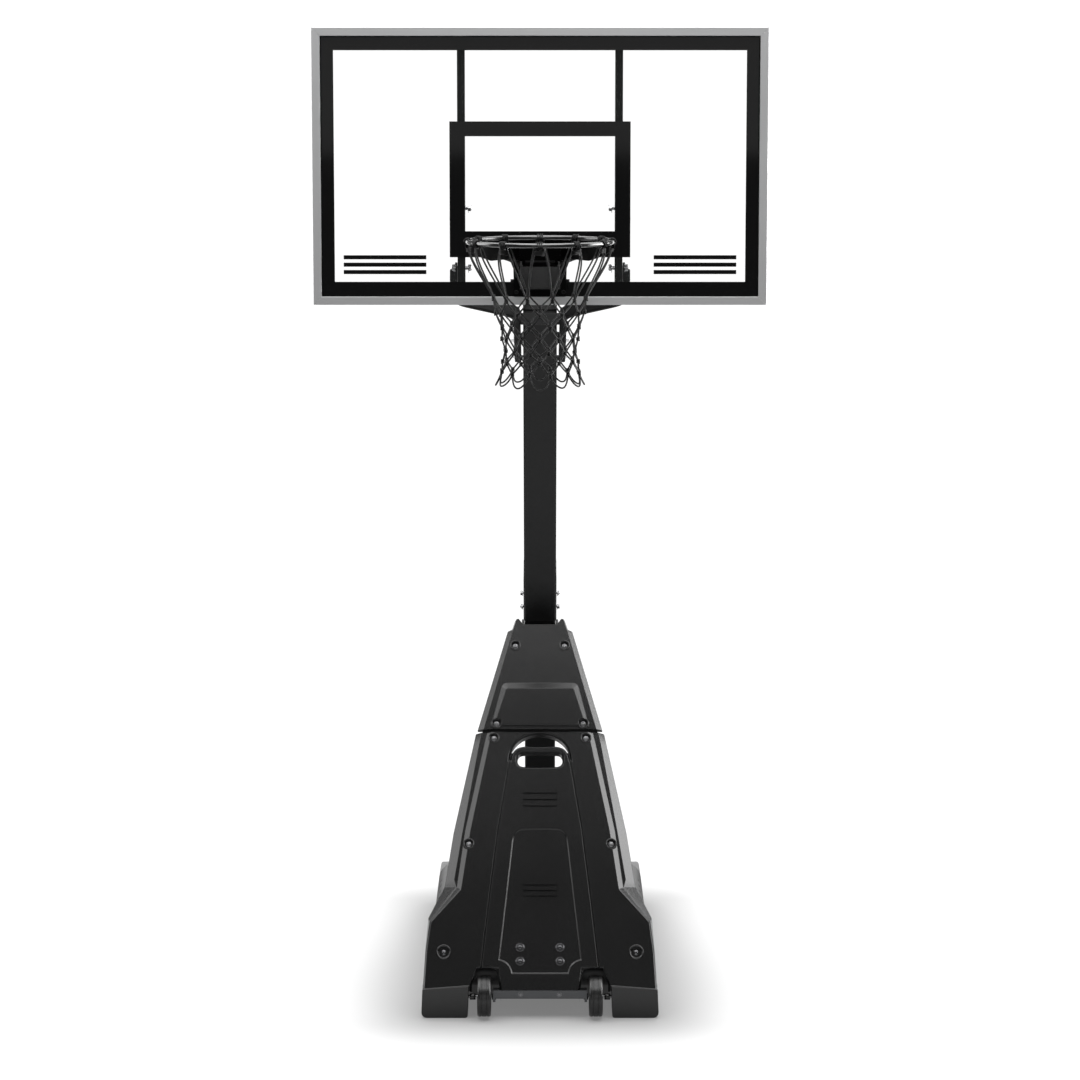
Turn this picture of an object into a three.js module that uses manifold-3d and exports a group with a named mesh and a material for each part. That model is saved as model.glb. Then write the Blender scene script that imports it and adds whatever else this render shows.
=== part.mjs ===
// Portable basketball hoop: a ballast tank on the floor, a leaning square pole, two pairs of
// parallel lift arms that keep the board upright, a screw jack that drives them, a glass
// backboard and a breakaway rim. Millimetres, +X right, +Y back (away from the player), +Z up.
// The origin is the middle of the footprint, on the floor.
import * as THREE from 'three';
import { mergeVertices } from 'three/addons/utils/BufferGeometryUtils.js';
import Module from 'manifold-3d';

const wasm = await Module();
wasm.setup();

// ---------------------------------------------------------------- driving dimensions
const DEGREE = Math.PI / 180;
const GAP = 0.3;                  // left between pieces that touch

const RIM_HEIGHT = 3048;          // ring top above the floor, 10 ft
const RING_ROD = 8;               // radius of the ring's rod
const RING_MIDDLE = 236.6;        // radius of the ring at its rod's centre
const RING_REACH = 381;           // ring centre ahead of the board

const BOARD_FRONT = -1110;        // y of the frame's front face
const BOARD_HALF = 768.25;
const BOARD_BOTTOM = 2804;
const BOARD_TOP = 3735;
const FRAME_FACE = 28;            // width of the aluminium frame seen from the front
const FRAME_DEPTH = 32;
const GLASS_THICK = 10;
const GLASS_FRONT = BOARD_FRONT + 7;
const GLASS_HOLD = 11;            // how far the glass reaches into the frame

const STILE_X = [254, 280];       // inner and outer side of each upright behind the glass
const STILE_Y = [-1077, -1027];

const LEAN = 28 * DEGREE;         // pole leans forward, front cover leans back
const POLE_FOOT = 1550;           // y where the pole's centre line meets the floor
const POLE_LOW_HALF = 62;
const POLE_HALF = 63.5;
const POLE_WALL = 3.2;
const POLE_START = 48;            // along the pole, from the floor
const POLE_SPLICE = [1624, 1828, 1862];   // sleeve's mouth, sleeve's end, end of its taper
const POLE_LOW_END = 1812;
const POLE_END = 3085;
const POLE_BOLTS = [1649, 1716.4];  // through the splice, along the pole

const LOWER_PIVOT = { y: 175, z: 2580 };
const PIVOT_RISE = 203;           // upper pivots above the lower ones
const ARM_LENGTH = 1273.2;
const ARM_SLOPE = 15.8 * DEGREE;
const WALL = 2.6;                 // wall of the small tubes
const ARM_WIDE = 26;
const ARM_TALL = 44;
const ARM_NARROW = 85;            // x of an arm's centre beside the pole
const ARM_SPREAD = 294.5;         // x of an arm's centre beside the board's uprights
const ARM_BEND = [504, 743];      // where the flare starts and ends, from the pole pivot
const ARM_SHORT = 23;             // from a bar's end to the board's pivot bolt
const TAIL = 350;                 // tail pin behind the pole pivot
const PIN = 8;                    // radius of the pivot bolts
const HOLE = PIN + GAP;

const JACK_PIVOT = { y: 778, z: 1700 };
const JACK_TILT = 18.74 * DEGREE;
const JACK_LENGTH = 828.6;        // jack pivot to tail pin, at full height

const KNEE = { y: -59, z: 100 };  // where the cover's sloping face meets its upright foot
const COVER_SKIN = 22;
const COVER_RAISE = 12;
const FOOT_HALF = 454;
const SEAM = [1039, 1045];        // lower cover's top and upper cover's bottom, up the slope

const WHEEL_X = 213;
const WHEEL_RADIUS = 76;
const WHEEL_HALF = 26;
const WHEEL_AXIS = { y: -39, z: WHEEL_RADIUS + 3 };

const TANK_END = 1735;

// ---------------------------------------------------------------- materials
const finish = (color, roughness, metalness) =>
  new THREE.MeshStandardMaterial({ color, roughness, metalness });
const blackPlastic = finish(0x2a2b2c, 0.55, 0);
const blackCoat = finish(0x1d1e1f, 0.45, 0.2);
const aluminium = finish(0xb4b6b8, 0.35, 0.9);
const steel = finish(0x9a9c9f, 0.3, 1);
const clearGlass = finish(0xdde6e4, 0.05, 0);
const cordBlack = finish(0x151515, 0.9, 0);
const wheelRubber = finish(0x202122, 0.7, 0);

// ---------------------------------------------------------------- solids
function toSolid(geometry) {
  const bare = geometry.clone();
  for (const name of Object.keys(bare.attributes)) {
    if (name !== 'position') bare.deleteAttribute(name);
  }
  const merged = mergeVertices(bare, 1e-3);
  const index = merged.index.array;
  const triangles = [];
  for (let i = 0; i < index.length; i += 3) {
    const [a, b, c] = [index[i], index[i + 1], index[i + 2]];
    if (a !== b && b !== c && c !== a) triangles.push(a, b, c);
  }
  return new wasm.Manifold(new wasm.Mesh({
    numProp: 3,
    vertProperties: new Float32Array(merged.attributes.position.array),
    triVerts: new Uint32Array(triangles),
  }));
}

function toGeometry(solid) {
  const { vertProperties, triVerts } = solid.getMesh();
  const geometry = new THREE.BufferGeometry();
  geometry.setAttribute('position', new THREE.BufferAttribute(vertProperties, 3));
  geometry.setIndex(new THREE.BufferAttribute(triVerts, 1));
  geometry.computeVertexNormals();
  return geometry;
}

const join = (...parts) => toGeometry(parts.map(toSolid).reduce((sum, part) => sum.add(part)));
const cut = (base, ...tools) =>
  toGeometry(tools.map(toSolid).reduce((rest, tool) => rest.subtract(tool), toSolid(base)));
const common = (a, b) => toGeometry(toSolid(a).intersect(toSolid(b)));

// ---------------------------------------------------------------- shapes
function box([x0, x1], [y0, y1], [z0, z1]) {
  return new THREE.BoxGeometry(x1 - x0, y1 - y0, z1 - z0)
    .translate((x0 + x1) / 2, (y0 + y1) / 2, (z0 + z1) / 2);
}

function outline(points, holes = []) {
  const shape = new THREE.Shape(points.map(([u, v]) => new THREE.Vector2(u, v)));
  shape.holes = holes;
  return shape;
}

function extrude(shape, depth, curveSegments = 8) {
  return new THREE.ExtrudeGeometry(shape, { depth, bevelEnabled: false, curveSegments });
}

// an outline seen from the front (x, z), thick from y0 to y1
function frontPlate(shape, y0, y1) {
  return extrude(shape, y1 - y0).rotateX(Math.PI / 2).translate(0, y1, 0);
}

// an outline seen from the side (y, z), thick from x0 to x1
function sidePlate(shape, x0, x1) {
  const turn = new THREE.Matrix4().makeBasis(
    new THREE.Vector3(0, 1, 0), new THREE.Vector3(0, 0, 1), new THREE.Vector3(1, 0, 0));
  return extrude(shape, x1 - x0).applyMatrix4(turn).translate(x0, 0, 0);
}

// an outline seen from above (x, y), thick from z0 to z1
function planPlate(shape, z0, z1) {
  return extrude(shape, z1 - z0).translate(0, 0, z0);
}

// a rod along X
function rod(radius, [x0, x1], y, z, sides = 12) {
  return new THREE.CylinderGeometry(radius, radius, x1 - x0, sides)
    .rotateZ(Math.PI / 2).translate((x0 + x1) / 2, y, z);
}

// a turned piece: profile of [radius, height] pairs, standing on Z
function turned(profile, sides = 12) {
  const points = profile.map(([radius, height]) => new THREE.Vector2(radius, height));
  return new THREE.LatheGeometry(points, sides).rotateX(Math.PI / 2);
}

// a turned bolt along X, from its head's outer face at x0 to its nut's outer face at x1,
// with its thread standing out of the nut by tip
function bolt(radius, headRadius, headThick, [x0, x1], y, z, tip = 4) {
  const length = Math.abs(x1 - x0);
  const profile = [
    [0, 0], [headRadius, 0], [headRadius, headThick], [radius, headThick],
    [radius, length - headThick], [headRadius * 0.9, length - headThick],
    [headRadius * 0.9, length], [radius, length], [radius, length + tip], [0, length + tip],
  ];
  const turn = x1 > x0 ? Math.PI / 2 : -Math.PI / 2;
  return turned(profile).rotateY(turn).translate(x0, y, z);
}

// both halves of an outline that is given by its right side, from bottom to top
function symmetric(right) {
  return [...right, ...right.map(([u, v]) => [-u, v]).reverse()];
}

// the outline of a bar of even width that follows a bent centre line
function band(points, width) {
  const left = [];
  const right = [];
  points.forEach(([u, v], i) => {
    const before = points[Math.max(i - 1, 0)];
    const after = points[Math.min(i + 1, points.length - 1)];
    const a = new THREE.Vector2(u - before[0], v - before[1]).normalize();
    const b = new THREE.Vector2(after[0] - u, after[1] - v).normalize();
    if (i === 0) a.copy(b);
    if (i === points.length - 1) b.copy(a);
    const along = a.clone().add(b).normalize();
    const half = width / 2 / along.dot(a);
    left.push([u - along.y * half, v + along.x * half]);
    right.push([u + along.y * half, v - along.x * half]);
  });
  return [...left, ...right.reverse()];
}

// a square tube's outer or inner form, as a stack of [height, half width] along Z
function squareStack(levels) {
  const parts = [];
  for (let i = 1; i < levels.length; i += 1) {
    const [[z0, h0], [z1, h1]] = [levels[i - 1], levels[i]];
    const part = new THREE.CylinderGeometry(h1 * Math.SQRT2, h0 * Math.SQRT2, z1 - z0, 4)
      .rotateY(Math.PI / 4).rotateX(Math.PI / 2).translate(0, 0, (z0 + z1) / 2);
    parts.push(part);
  }
  return parts.length > 1 ? join(...parts) : parts[0];
}

// ---------------------------------------------------------------- the scene graph
const hoop = new THREE.Group();

function frameAt(y, z, tilt) {
  const group = new THREE.Group();
  group.position.set(0, y, z);
  group.rotation.x = tilt;
  group.updateMatrix();
  hoop.add(group);
  return group;
}

const poleFrame = frameAt(POLE_FOOT, 0, LEAN);
const coverFrame = frameAt(KNEE.y, KNEE.z, -LEAN);
const lowerArmFrame = frameAt(LOWER_PIVOT.y, LOWER_PIVOT.z, -ARM_SLOPE);
const upperArmFrame = frameAt(LOWER_PIVOT.y, LOWER_PIVOT.z + PIVOT_RISE, -ARM_SLOPE);
const jackFrame = frameAt(JACK_PIVOT.y, JACK_PIVOT.z, JACK_TILT);

function add(name, geometry, material, parent = hoop) {
  const mesh = new THREE.Mesh(toGeometry(toSolid(geometry)), material);
  mesh.name = name;
  parent.add(mesh);
}

const SIDES = [['left', -1], ['right', 1]];
const between = (side, a, b) => (side > 0 ? [a, b] : [-b, -a]);

// ---------------------------------------------------------------- base
const COVER_BACK = COVER_RAISE + COVER_SKIN;

function tank() {
  const profile = outline([
    [215, 0], [62, 100], [62, 140], [215, 431], [740, 431], [900, 290], [1480, 235], [TANK_END, 175],
    [TANK_END, 0],
  ]);
  const section = outline(symmetric([[425, 0], [420, 250], [402, 400], [371, 431]]));
  const hull = common(sidePlate(profile, -430, 430), frontPlate(section, 0, TANK_END));
  const half = POLE_LOW_HALF + GAP;
  const socket = box([-half, half], [-half, half], [POLE_START - GAP, 700])
    .applyMatrix4(poleFrame.matrix);
  add('ballast_tank', cut(hull, socket), blackPlastic);
  add('filler_cap', turned([[0, 0], [44, 0], [44, 9], [38, 15], [0, 15]], 32)
    .translate(215, 520, 431 + GAP), blackPlastic);
}

// the lower cover: sloping skin with a raised middle, a handle, two wheel arches and two feet
function lowerCover() {
  const skin = outline(symmetric([
    [442, 0], [433, 166], [427, 303], [368, 420], [343, 600], [298, 840], [253, 1027],
    [245, SEAM[0]],
  ]));
  const raised = outline(symmetric([
    [442, 0], [433, 166], [419, 275], [304, 405], [269, 639], [199, 986], [190, 1030],
  ]));
  const slopes = join(frontPlate(raised, 0, COVER_RAISE + 1), frontPlate(skin, COVER_RAISE, COVER_BACK));
  const arch = outline([[-112, 952], [-98, 968], [98, 968], [112, 952], [116, 972], [96, 1000],
    [70, 1010], [-70, 1010], [-96, 1000], [-116, 972]].reverse());
  const slot = outline([[-90, 910], [-76, 894], [76, 894], [90, 910], [90, 926], [76, 942],
    [-76, 942], [-90, 926]]);
  const open = cut(slopes, frontPlate(arch, -20, 60), frontPlate(slot, -20, 60),
    ...boltHoles(LOWER_BOLTS));
  const foot = outline([[FOOT_HALF, 14], [FOOT_HALF, 106], [300, 120], [268, 108], [268, 0],
    [FOOT_HALF - 12, 0]]);
  const feet = SIDES.map(([, side]) => {
    const right = frontPlate(foot, KNEE.y, 55);
    return side > 0 ? right : mirrored(right);
  });
  const whole = join(open.applyMatrix4(coverFrame.matrix), ...feet);
  const clearance = SIDES.map(([, side]) => {
    const wheelWell = frontPlate(outline([[143, -10], [164, 181], [236, 181], [268, 120],
      [268, -10]]), -150, 61);
    return side > 0 ? wheelWell : mirrored(wheelWell);
  });
  const under = box([-190, 190], [-150, 80], [-20, 108]);
  const pins = rod(6 + GAP, [-300, 300], WHEEL_AXIS.y, WHEEL_AXIS.z);
  add('lower_cover', cut(whole, ...clearance, under, pins), blackPlastic);
}

function mirrored(geometry) {
  const flipped = geometry.clone().scale(-1, 1, 1);
  const plain = flipped.index ? flipped.toNonIndexed() : flipped;
  const place = plain.attributes.position.array;
  for (let i = 0; i < place.length; i += 9) {
    for (let k = 0; k < 3; k += 1) {
      [place[i + k], place[i + 6 + k]] = [place[i + 6 + k], place[i + k]];
    }
  }
  return plain;
}

function upperCover() {
  const skin = outline(symmetric([
    [245, SEAM[1]], [241, 1084], [125, 1455], [91, 1501], [67, 1480],
  ]));
  const raised = outline(symmetric([[192, 1063], [148, 1225], [131, 1236]]));
  const plain = join(frontPlate(skin, 0, COVER_BACK), frontPlate(raised, -8, 1));
  add('upper_cover', cut(plain, ...boltHoles(UPPER_BOLTS)), blackPlastic, coverFrame);
}

// bolt centres on the covers: x, and distance up the slope
const LOWER_BOLTS = [[180, 1011], [276, 585], [369, 158]].flatMap(([x, s]) => [[-x, s], [x, s]]);
const UPPER_BOLTS = [[97, 1391], [170, 1069]].flatMap(([x, s]) => [[-x, s], [x, s]]);

// each bolt's hole, with room for its head where the face stands proud
const boltHoles = (bolts) => bolts.flatMap(([x, s]) => [
  new THREE.CylinderGeometry(4.4, 4.4, 160, 12).translate(x, 0, s),
  new THREE.CylinderGeometry(12, 12, 30, 20).translate(x, -15, s),
]);

function coverBolts() {
  const profile = [[0, -5], [8, -5], [11, -2], [11, -GAP], [4, -GAP], [4, 30], [0, 30]];
  [...LOWER_BOLTS, ...UPPER_BOLTS].forEach(([x, s], i) => {
    add(`cover_bolt_${i + 1}`, turned(profile, 10).rotateX(-Math.PI / 2).translate(x, 0, s),
      steel, coverFrame);
  });
}

function struts() {
  const [foot, top] = [new THREE.Vector2(335, 96), new THREE.Vector2(92, 1420)];
  for (const [name, side] of SIDES) {
    const line = [[side * foot.x, foot.y], [side * top.x, top.y]];
    const past = line.map(([x, s], i) => [x, s + (i ? 10 : -10)]);
    const bar = frontPlate(outline(band(line, 38)), COVER_BACK + GAP, COVER_BACK + 38);
    const bore = frontPlate(outline(band(past, 38 - 2 * WALL)), COVER_BACK + GAP + WALL,
      COVER_BACK + 38 - WALL);
    add(`front_strut_${name}`, cut(bar, bore), blackCoat, coverFrame);
  }
  const cheek = outline([[622, 1266], [654, 1345], [790, 1400], [905, 1330], [880, 1240]]);
  const cheeks = SIDES.map(([, side]) =>
    sidePlate(cheek, ...between(side, POLE_LOW_HALF + 1, 72.6)));
  add('apex_bracket', join(...cheeks, box([-72.6, 72.6], [700, 708], [1285, 1330])), blackCoat);
}

function wheels() {
  const beam = join(
    box([-180, 180], [-56, -16], [75, 107.5]),
    ...SIDES.map(([, side]) => box(between(side, 170, 180), [-56, -16], [62, 90])),
  );
  const hole = rod(6 + GAP, [-190, 190], WHEEL_AXIS.y, WHEEL_AXIS.z);
  add('axle_beam', cut(beam, hole), steel);
  const [r, w] = [WHEEL_RADIUS, WHEEL_HALF];
  const profile = [
    [6 + GAP, -w], [22, -w], [24, -w + 4], [52, -w + 4], [56, -w], [r - 5, -w], [r, -w + 6],
    [r, w - 6], [r - 5, w], [56, w], [52, w - 4], [24, w - 4], [22, w], [6 + GAP, w],
    [6 + GAP, -w],
  ];
  for (const [name, side] of SIDES) {
    add(`wheel_${name}`, turned(profile, 28).rotateY(Math.PI / 2)
      .translate(side * WHEEL_X, WHEEL_AXIS.y, WHEEL_AXIS.z), wheelRubber);
    const pin = rod(6, between(side, 160, 292), WHEEL_AXIS.y, WHEEL_AXIS.z);
    add(`wheel_pin_${name}`, pin, steel);
  }
}

// ---------------------------------------------------------------- pole
function pole() {
  const throughHoles = POLE_BOLTS.map((p) => rod(6 + GAP, [-100, 100], 0, p));
  const pivotHole = rod(HOLE, [-100, 100], LOWER_PIVOT.y, LOWER_PIVOT.z)
    .applyMatrix4(poleFrame.matrix.clone().invert());
  const low = cut(
    squareStack([[POLE_START, POLE_LOW_HALF], [POLE_LOW_END, POLE_LOW_HALF]]),
    squareStack([[POLE_START - 5, POLE_LOW_HALF - 3], [POLE_LOW_END + 5, POLE_LOW_HALF - 3]]),
    ...throughHoles,
  );
  add('pole_lower', low, blackCoat, poleFrame);
  const [mouth, sleeve, taper] = POLE_SPLICE;
  const wide = POLE_HALF + 2;
  const thin = POLE_HALF - POLE_WALL;
  const high = cut(
    squareStack([[mouth, wide], [sleeve, wide], [taper, POLE_HALF], [POLE_END, POLE_HALF]]),
    squareStack([[mouth - 5, wide - POLE_WALL], [sleeve, wide - POLE_WALL], [taper, thin],
      [POLE_END + 5, thin]]),
    ...throughHoles, pivotHole,
  );
  add('pole_upper', high, blackCoat, poleFrame);
  add('pole_bolt_lower', bolt(6, 12, 9, [84, -84], 0, POLE_BOLTS[0]), steel, poleFrame);
  add('pole_bolt_upper', bolt(6, 12, 9, [-84, 84], 0, POLE_BOLTS[1]), steel, poleFrame);
  const cap = box([-thin + GAP, thin - GAP], [-thin + GAP, thin - GAP], [POLE_END - 20, POLE_END]);
  add('pole_cap', cap, blackPlastic, poleFrame);
}

function headBracket() {
  const upper = { y: LOWER_PIVOT.y, z: LOWER_PIVOT.z + PIVOT_RISE };
  // in the pole's frame: a saddle as wide as the pole, on its end and overhanging its back
  const seat = POLE_END + GAP;
  const pin = new THREE.Vector3(0, upper.y, upper.z).applyMatrix4(poleFrame.matrix.clone().invert());
  const cheek = outline([[-POLE_HALF, seat], [POLE_HALF + 3, seat], [88, seat - 12],
    [116, seat - 8], [126, seat + 14], [118, seat + 36], [50, seat + 56], [-POLE_HALF, seat + 36]]);
  const inner = POLE_HALF - 6;
  const cheeks = SIDES.map(([, side]) => sidePlate(cheek, ...between(side, inner, POLE_HALF)));
  const floor = box([-inner - 1, inner + 1], [-POLE_HALF, POLE_HALF], [seat, seat + 6]);
  const spacer = rod(16, [-inner - 1, inner + 1], pin.y, pin.z);
  const hole = rod(HOLE, [-90, 90], pin.y, pin.z);
  add('head_bracket', cut(join(...cheeks, floor, spacer), hole), blackCoat, poleFrame);
  add('pivot_bolt_lower', bolt(PIN, 15, 9, [-108, 108], LOWER_PIVOT.y, LOWER_PIVOT.z), steel);
  add('pivot_bolt_upper', bolt(PIN, 15, 9, [-108, 108], upper.y, upper.z), steel);
}

// ---------------------------------------------------------------- lift arms
// In an arm's frame the pole pivot is the origin and the board lies towards -Y.
// Past its flare the bar dips by half its height, and it ends just short of the board's pivot
// bolt, which an ear holds at the bar's top edge.
function dipped(geometry) {
  const place = geometry.attributes.position;
  const run = ARM_LENGTH - ARM_SHORT - ARM_BEND[1];
  for (let i = 0; i < place.count; i += 1) {
    const past = Math.max(0, -place.getY(i) - ARM_BEND[1]);
    place.setZ(i, place.getZ(i) - (past / run) * (ARM_TALL / 2));
  }
  return geometry;
}

function arm(side, tail) {
  const end = -ARM_LENGTH + ARM_SHORT;
  const line = [[ARM_NARROW, tail], [ARM_NARROW, -ARM_BEND[0]], [ARM_SPREAD, -ARM_BEND[1]],
    [ARM_SPREAD, end]];
  const bar = dipped(planPlate(outline(band(line, ARM_WIDE)), -ARM_TALL / 2, ARM_TALL / 2));
  const ear = sidePlate(outline([[end + 50, -40], [end + 50, -4], [end, 12], [end - 12, 17],
    [end - 23, 19], [end - 35, 14], [end - 41, 2], [end - 37, -12], [end - 12, -40]].reverse()),
  ARM_SPREAD - ARM_WIDE / 2, ARM_SPREAD - ARM_WIDE / 2 + 7);
  const inside = [[ARM_NARROW, tail + 30], ...line.slice(1, 3), [ARM_SPREAD, end - 30]];
  const bore = dipped(planPlate(outline(band(inside, ARM_WIDE - 2 * WALL)), WALL - ARM_TALL / 2,
    ARM_TALL / 2 - WALL));
  const whole = join(cut(bar, bore), ear);
  return side > 0 ? whole : mirrored(whole);
}

function lowerArms() {
  for (const [name, side] of SIDES) {
    const bushing = rod(19, between(side, POLE_HALF + GAP, ARM_NARROW), 0, 0);
    const holes = [0, -ARM_LENGTH].map((y) => rod(HOLE, between(side, 50, 330), y, 0));
    const tailHole = rod(6 + GAP, between(side, 50, 120), TAIL, 0);
    add(`lower_arm_${name}`, cut(join(arm(side, TAIL + 22), bushing), ...holes, tailHole),
      blackCoat, lowerArmFrame);
  }
  const inner = ARM_NARROW - ARM_WIDE / 2 - GAP;
  add('arm_cross_plate', box([-inner, inner], [-383, -375], [-21.5, 21.5]), blackCoat, lowerArmFrame);
  add('tail_pin', bolt(6, 12, 7, [-108, 108], TAIL, 0), steel, lowerArmFrame);
}

function upperArms() {
  for (const [name, side] of SIDES) {
    const holes = [0, -ARM_LENGTH].map((y) => rod(HOLE, between(side, 50, 330), y, 0));
    add(`upper_arm_${name}`, cut(arm(side, 26), ...holes), blackCoat, upperArmFrame);
  }
}

// ---------------------------------------------------------------- screw jack
// In the jack's frame its pivot is the origin and its screw runs up along Z.
function jack() {
  const base = POLE_HALF + 2 + GAP;
  const ear = outline([[base, 1800], [base, 1925], [128, 1885], [138, 1863], [128, 1842]]);
  const pivot = new THREE.Vector3(0, JACK_PIVOT.y, JACK_PIVOT.z)
    .applyMatrix4(poleFrame.matrix.clone().invert());
  const ears = SIDES.map(([, side]) => sidePlate(ear, ...between(side, 24, 30)));
  const seat = box([-45, 45], [base, base + 6], [1800, 1925]);
  const hole = rod(HOLE, [-50, 50], pivot.y, pivot.z);
  add('jack_bracket', cut(join(...ears, seat), hole), blackCoat, poleFrame);
  add('jack_pivot_bolt', bolt(PIN, 14, 8, [-40, 40], JACK_PIVOT.y, JACK_PIVOT.z), steel);

  const bore = 12 + GAP;
  const body = join(
    turned([[0, -60], [22, -60], [22, 600], [bore, 600], [bore, 320], [0, 320]]),
    box([-23, 23], [-15, 30], [-120, -55]),
    rod(23, [-23, 23], 0, 0),
  );
  add('jack_tube', cut(body, rod(HOLE, [-40, 40], 0, 0), rod(9 + GAP, [-60, 60], 0, 0, 24)
    .rotateZ(Math.PI / 2).translate(0, 0, -92)), blackCoat, jackFrame);

  const [reach, play] = [24, 10.5];
  const slotted = outline(roundedBar(0, JACK_LENGTH, reach + 12, 24), [
    new THREE.Path(roundedBar(0, JACK_LENGTH, reach, play)
      .map(([u, v]) => new THREE.Vector2(u, v)).reverse()),
  ]);
  const rodBody = join(
    turned([[0, 330], [12, 330], [12, JACK_LENGTH - 18], [0, JACK_LENGTH - 18]]),
    sidePlate(slotted, -13, 13),
  );
  add('jack_rod', rodBody, steel, jackFrame);

  const crank = join(
    turned([[0, 8], [9, 8], [9, 84], [0, 84]]).rotateX(-Math.PI / 2).translate(0, 0, -92),
    box([-14, 14], [70, 78], [-262, -78]),
    turned([[0, 70], [6, 70], [6, 176], [0, 176]]).rotateX(-Math.PI / 2).translate(0, 0, -246),
  );
  add('crank', crank, steel, jackFrame);
  add('crank_grip', turned([[6 + GAP, 84], [14, 86], [16, 120], [14, 166], [6 + GAP, 168],
    [6 + GAP, 84]]).rotateX(-Math.PI / 2).translate(0, 0, -246), blackPlastic, jackFrame);
}

// a bar with round ends, along the first axis, as points
function roundedBar(u, v, reach, half, steps = 8) {
  const points = [];
  for (const end of [1, -1]) {
    for (let i = 0; i <= steps; i += 1) {
      const angle = (i / steps - 0.5) * Math.PI;
      points.push([u + end * (reach - half + half * Math.cos(angle)), v + end * half * Math.sin(angle)]);
    }
  }
  return points;
}

// ---------------------------------------------------------------- backboard
function frameRails() {
  const [front, back] = [BOARD_FRONT, BOARD_FRONT + FRAME_DEPTH];
  const slot = [GLASS_FRONT - GAP, GLASS_FRONT + GLASS_THICK + GAP];
  const lip = FRAME_FACE - GLASS_HOLD - 2;
  const middle = (BOARD_BOTTOM + BOARD_TOP) / 2;
  const half = (BOARD_TOP - BOARD_BOTTOM) / 2;
  // a channel's section: distance in from the outer edge, and depth
  const section = [[0, front], [FRAME_FACE, front], [FRAME_FACE, slot[0]], [lip, slot[0]],
    [lip, slot[1]], [FRAME_FACE, slot[1]], [FRAME_FACE, back], [0, back]];
  // a rail of the given half length, half a board above the middle, lying along X
  const rail = (long, lift) => {
    const bar = sidePlate(outline(section.map(([inward, y]) => [y, lift - inward])), -long, long);
    const clip = frontPlate(outline([[-long - 1 + GAP, lift + 1], [long + 1 - GAP, lift + 1],
      [long - 39 - GAP, lift - 39], [-long + 39 + GAP, lift - 39]]), front - 5, back + 5);
    return common(bar, clip);
  };
  const place = (geometry) => geometry.translate(0, 0, middle);
  const about = (geometry, angle) => {
    const turn = new THREE.Matrix4().makeRotationY(angle);
    return geometry.applyMatrix4(turn);
  };
  add('frame_top', place(rail(BOARD_HALF, half)), aluminium);
  add('frame_bottom', place(about(rail(BOARD_HALF, half), Math.PI)), aluminium);
  add('frame_right', place(about(rail(half, BOARD_HALF), Math.PI / 2)), aluminium);
  add('frame_left', place(about(rail(half, BOARD_HALF), -Math.PI / 2)), aluminium);
}

function backboard() {
  frameRails();
  const inset = FRAME_FACE - GLASS_HOLD;
  add('glass_panel', box([-BOARD_HALF + inset, BOARD_HALF - inset],
    [GLASS_FRONT, GLASS_FRONT + GLASS_THICK], [BOARD_BOTTOM + inset, BOARD_TOP - inset]), clearGlass);
  const pivots = [LOWER_PIVOT.z, LOWER_PIVOT.z + PIVOT_RISE]
    .map((z) => z + ARM_LENGTH * Math.sin(ARM_SLOPE));
  const pivotY = LOWER_PIVOT.y - ARM_LENGTH * Math.cos(ARM_SLOPE);
  for (const [name, side] of SIDES) {
    const stile = box(between(side, ...STILE_X), STILE_Y, [BOARD_BOTTOM + 2, BOARD_TOP - 2]);
    const holes = pivots.map((z) => rod(HOLE, between(side, 240, 300), pivotY, z));
    const bore = box(between(side, STILE_X[0] + WALL, STILE_X[1] - WALL),
      [STILE_Y[0] + WALL, STILE_Y[1] - WALL], [BOARD_BOTTOM, BOARD_TOP]);
    add(`stile_${name}`, cut(stile, bore, ...holes), blackCoat);
    pivots.forEach((z, i) => add(`board_pivot_${['lower', 'upper'][i]}_${name}`,
      bolt(PIN, 14, 13, [side * 302, side * 240], pivotY, z, 8), steel));
  }
  const inner = STILE_X[0] - GAP;
  const [front, back] = [STILE_Y[0], STILE_Y[0] + 25];
  add('cross_tube', cut(box([-inner, inner], [front, back], [3383, 3420]),
    box([-inner - 1, inner + 1], [front + WALL, back - WALL], [3383 + WALL, 3420 - WALL])),
  blackCoat);
}

// ---------------------------------------------------------------- rim
const RING_Y = BOARD_FRONT - RING_REACH;
const RING_Z = RIM_HEIGHT - RING_ROD;
const RIM_PIN = { y: -1165, z: 2951 };

function rimMount() {
  const back = GLASS_FRONT - GAP;
  const plate = outline(symmetric([[89, 2833.5], [89, 3010], [70, 3040]]));
  add('rim_back_plate', frontPlate(plate, back - 8, back), blackCoat);
  const shell = box([-67, 67], [-1200, back - 8 - GAP], [2862, 2939]);
  const cheeks = SIDES.map(([, side]) => sidePlate(outline([[-1178, 2930], [-1178, 2956],
    [-1171, 2963], [-1159, 2963], [-1152, 2956], [-1152, 2930]]), ...between(side, 60, 67)));
  add('spring_box', cut(join(shell, ...cheeks), rod(6 + GAP, [-80, 80], RIM_PIN.y, RIM_PIN.z)), blackCoat);
  add('rim_hinge_pin', bolt(6, 9, 4, [-74, 74], RIM_PIN.y, RIM_PIN.z), steel);
}

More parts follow.
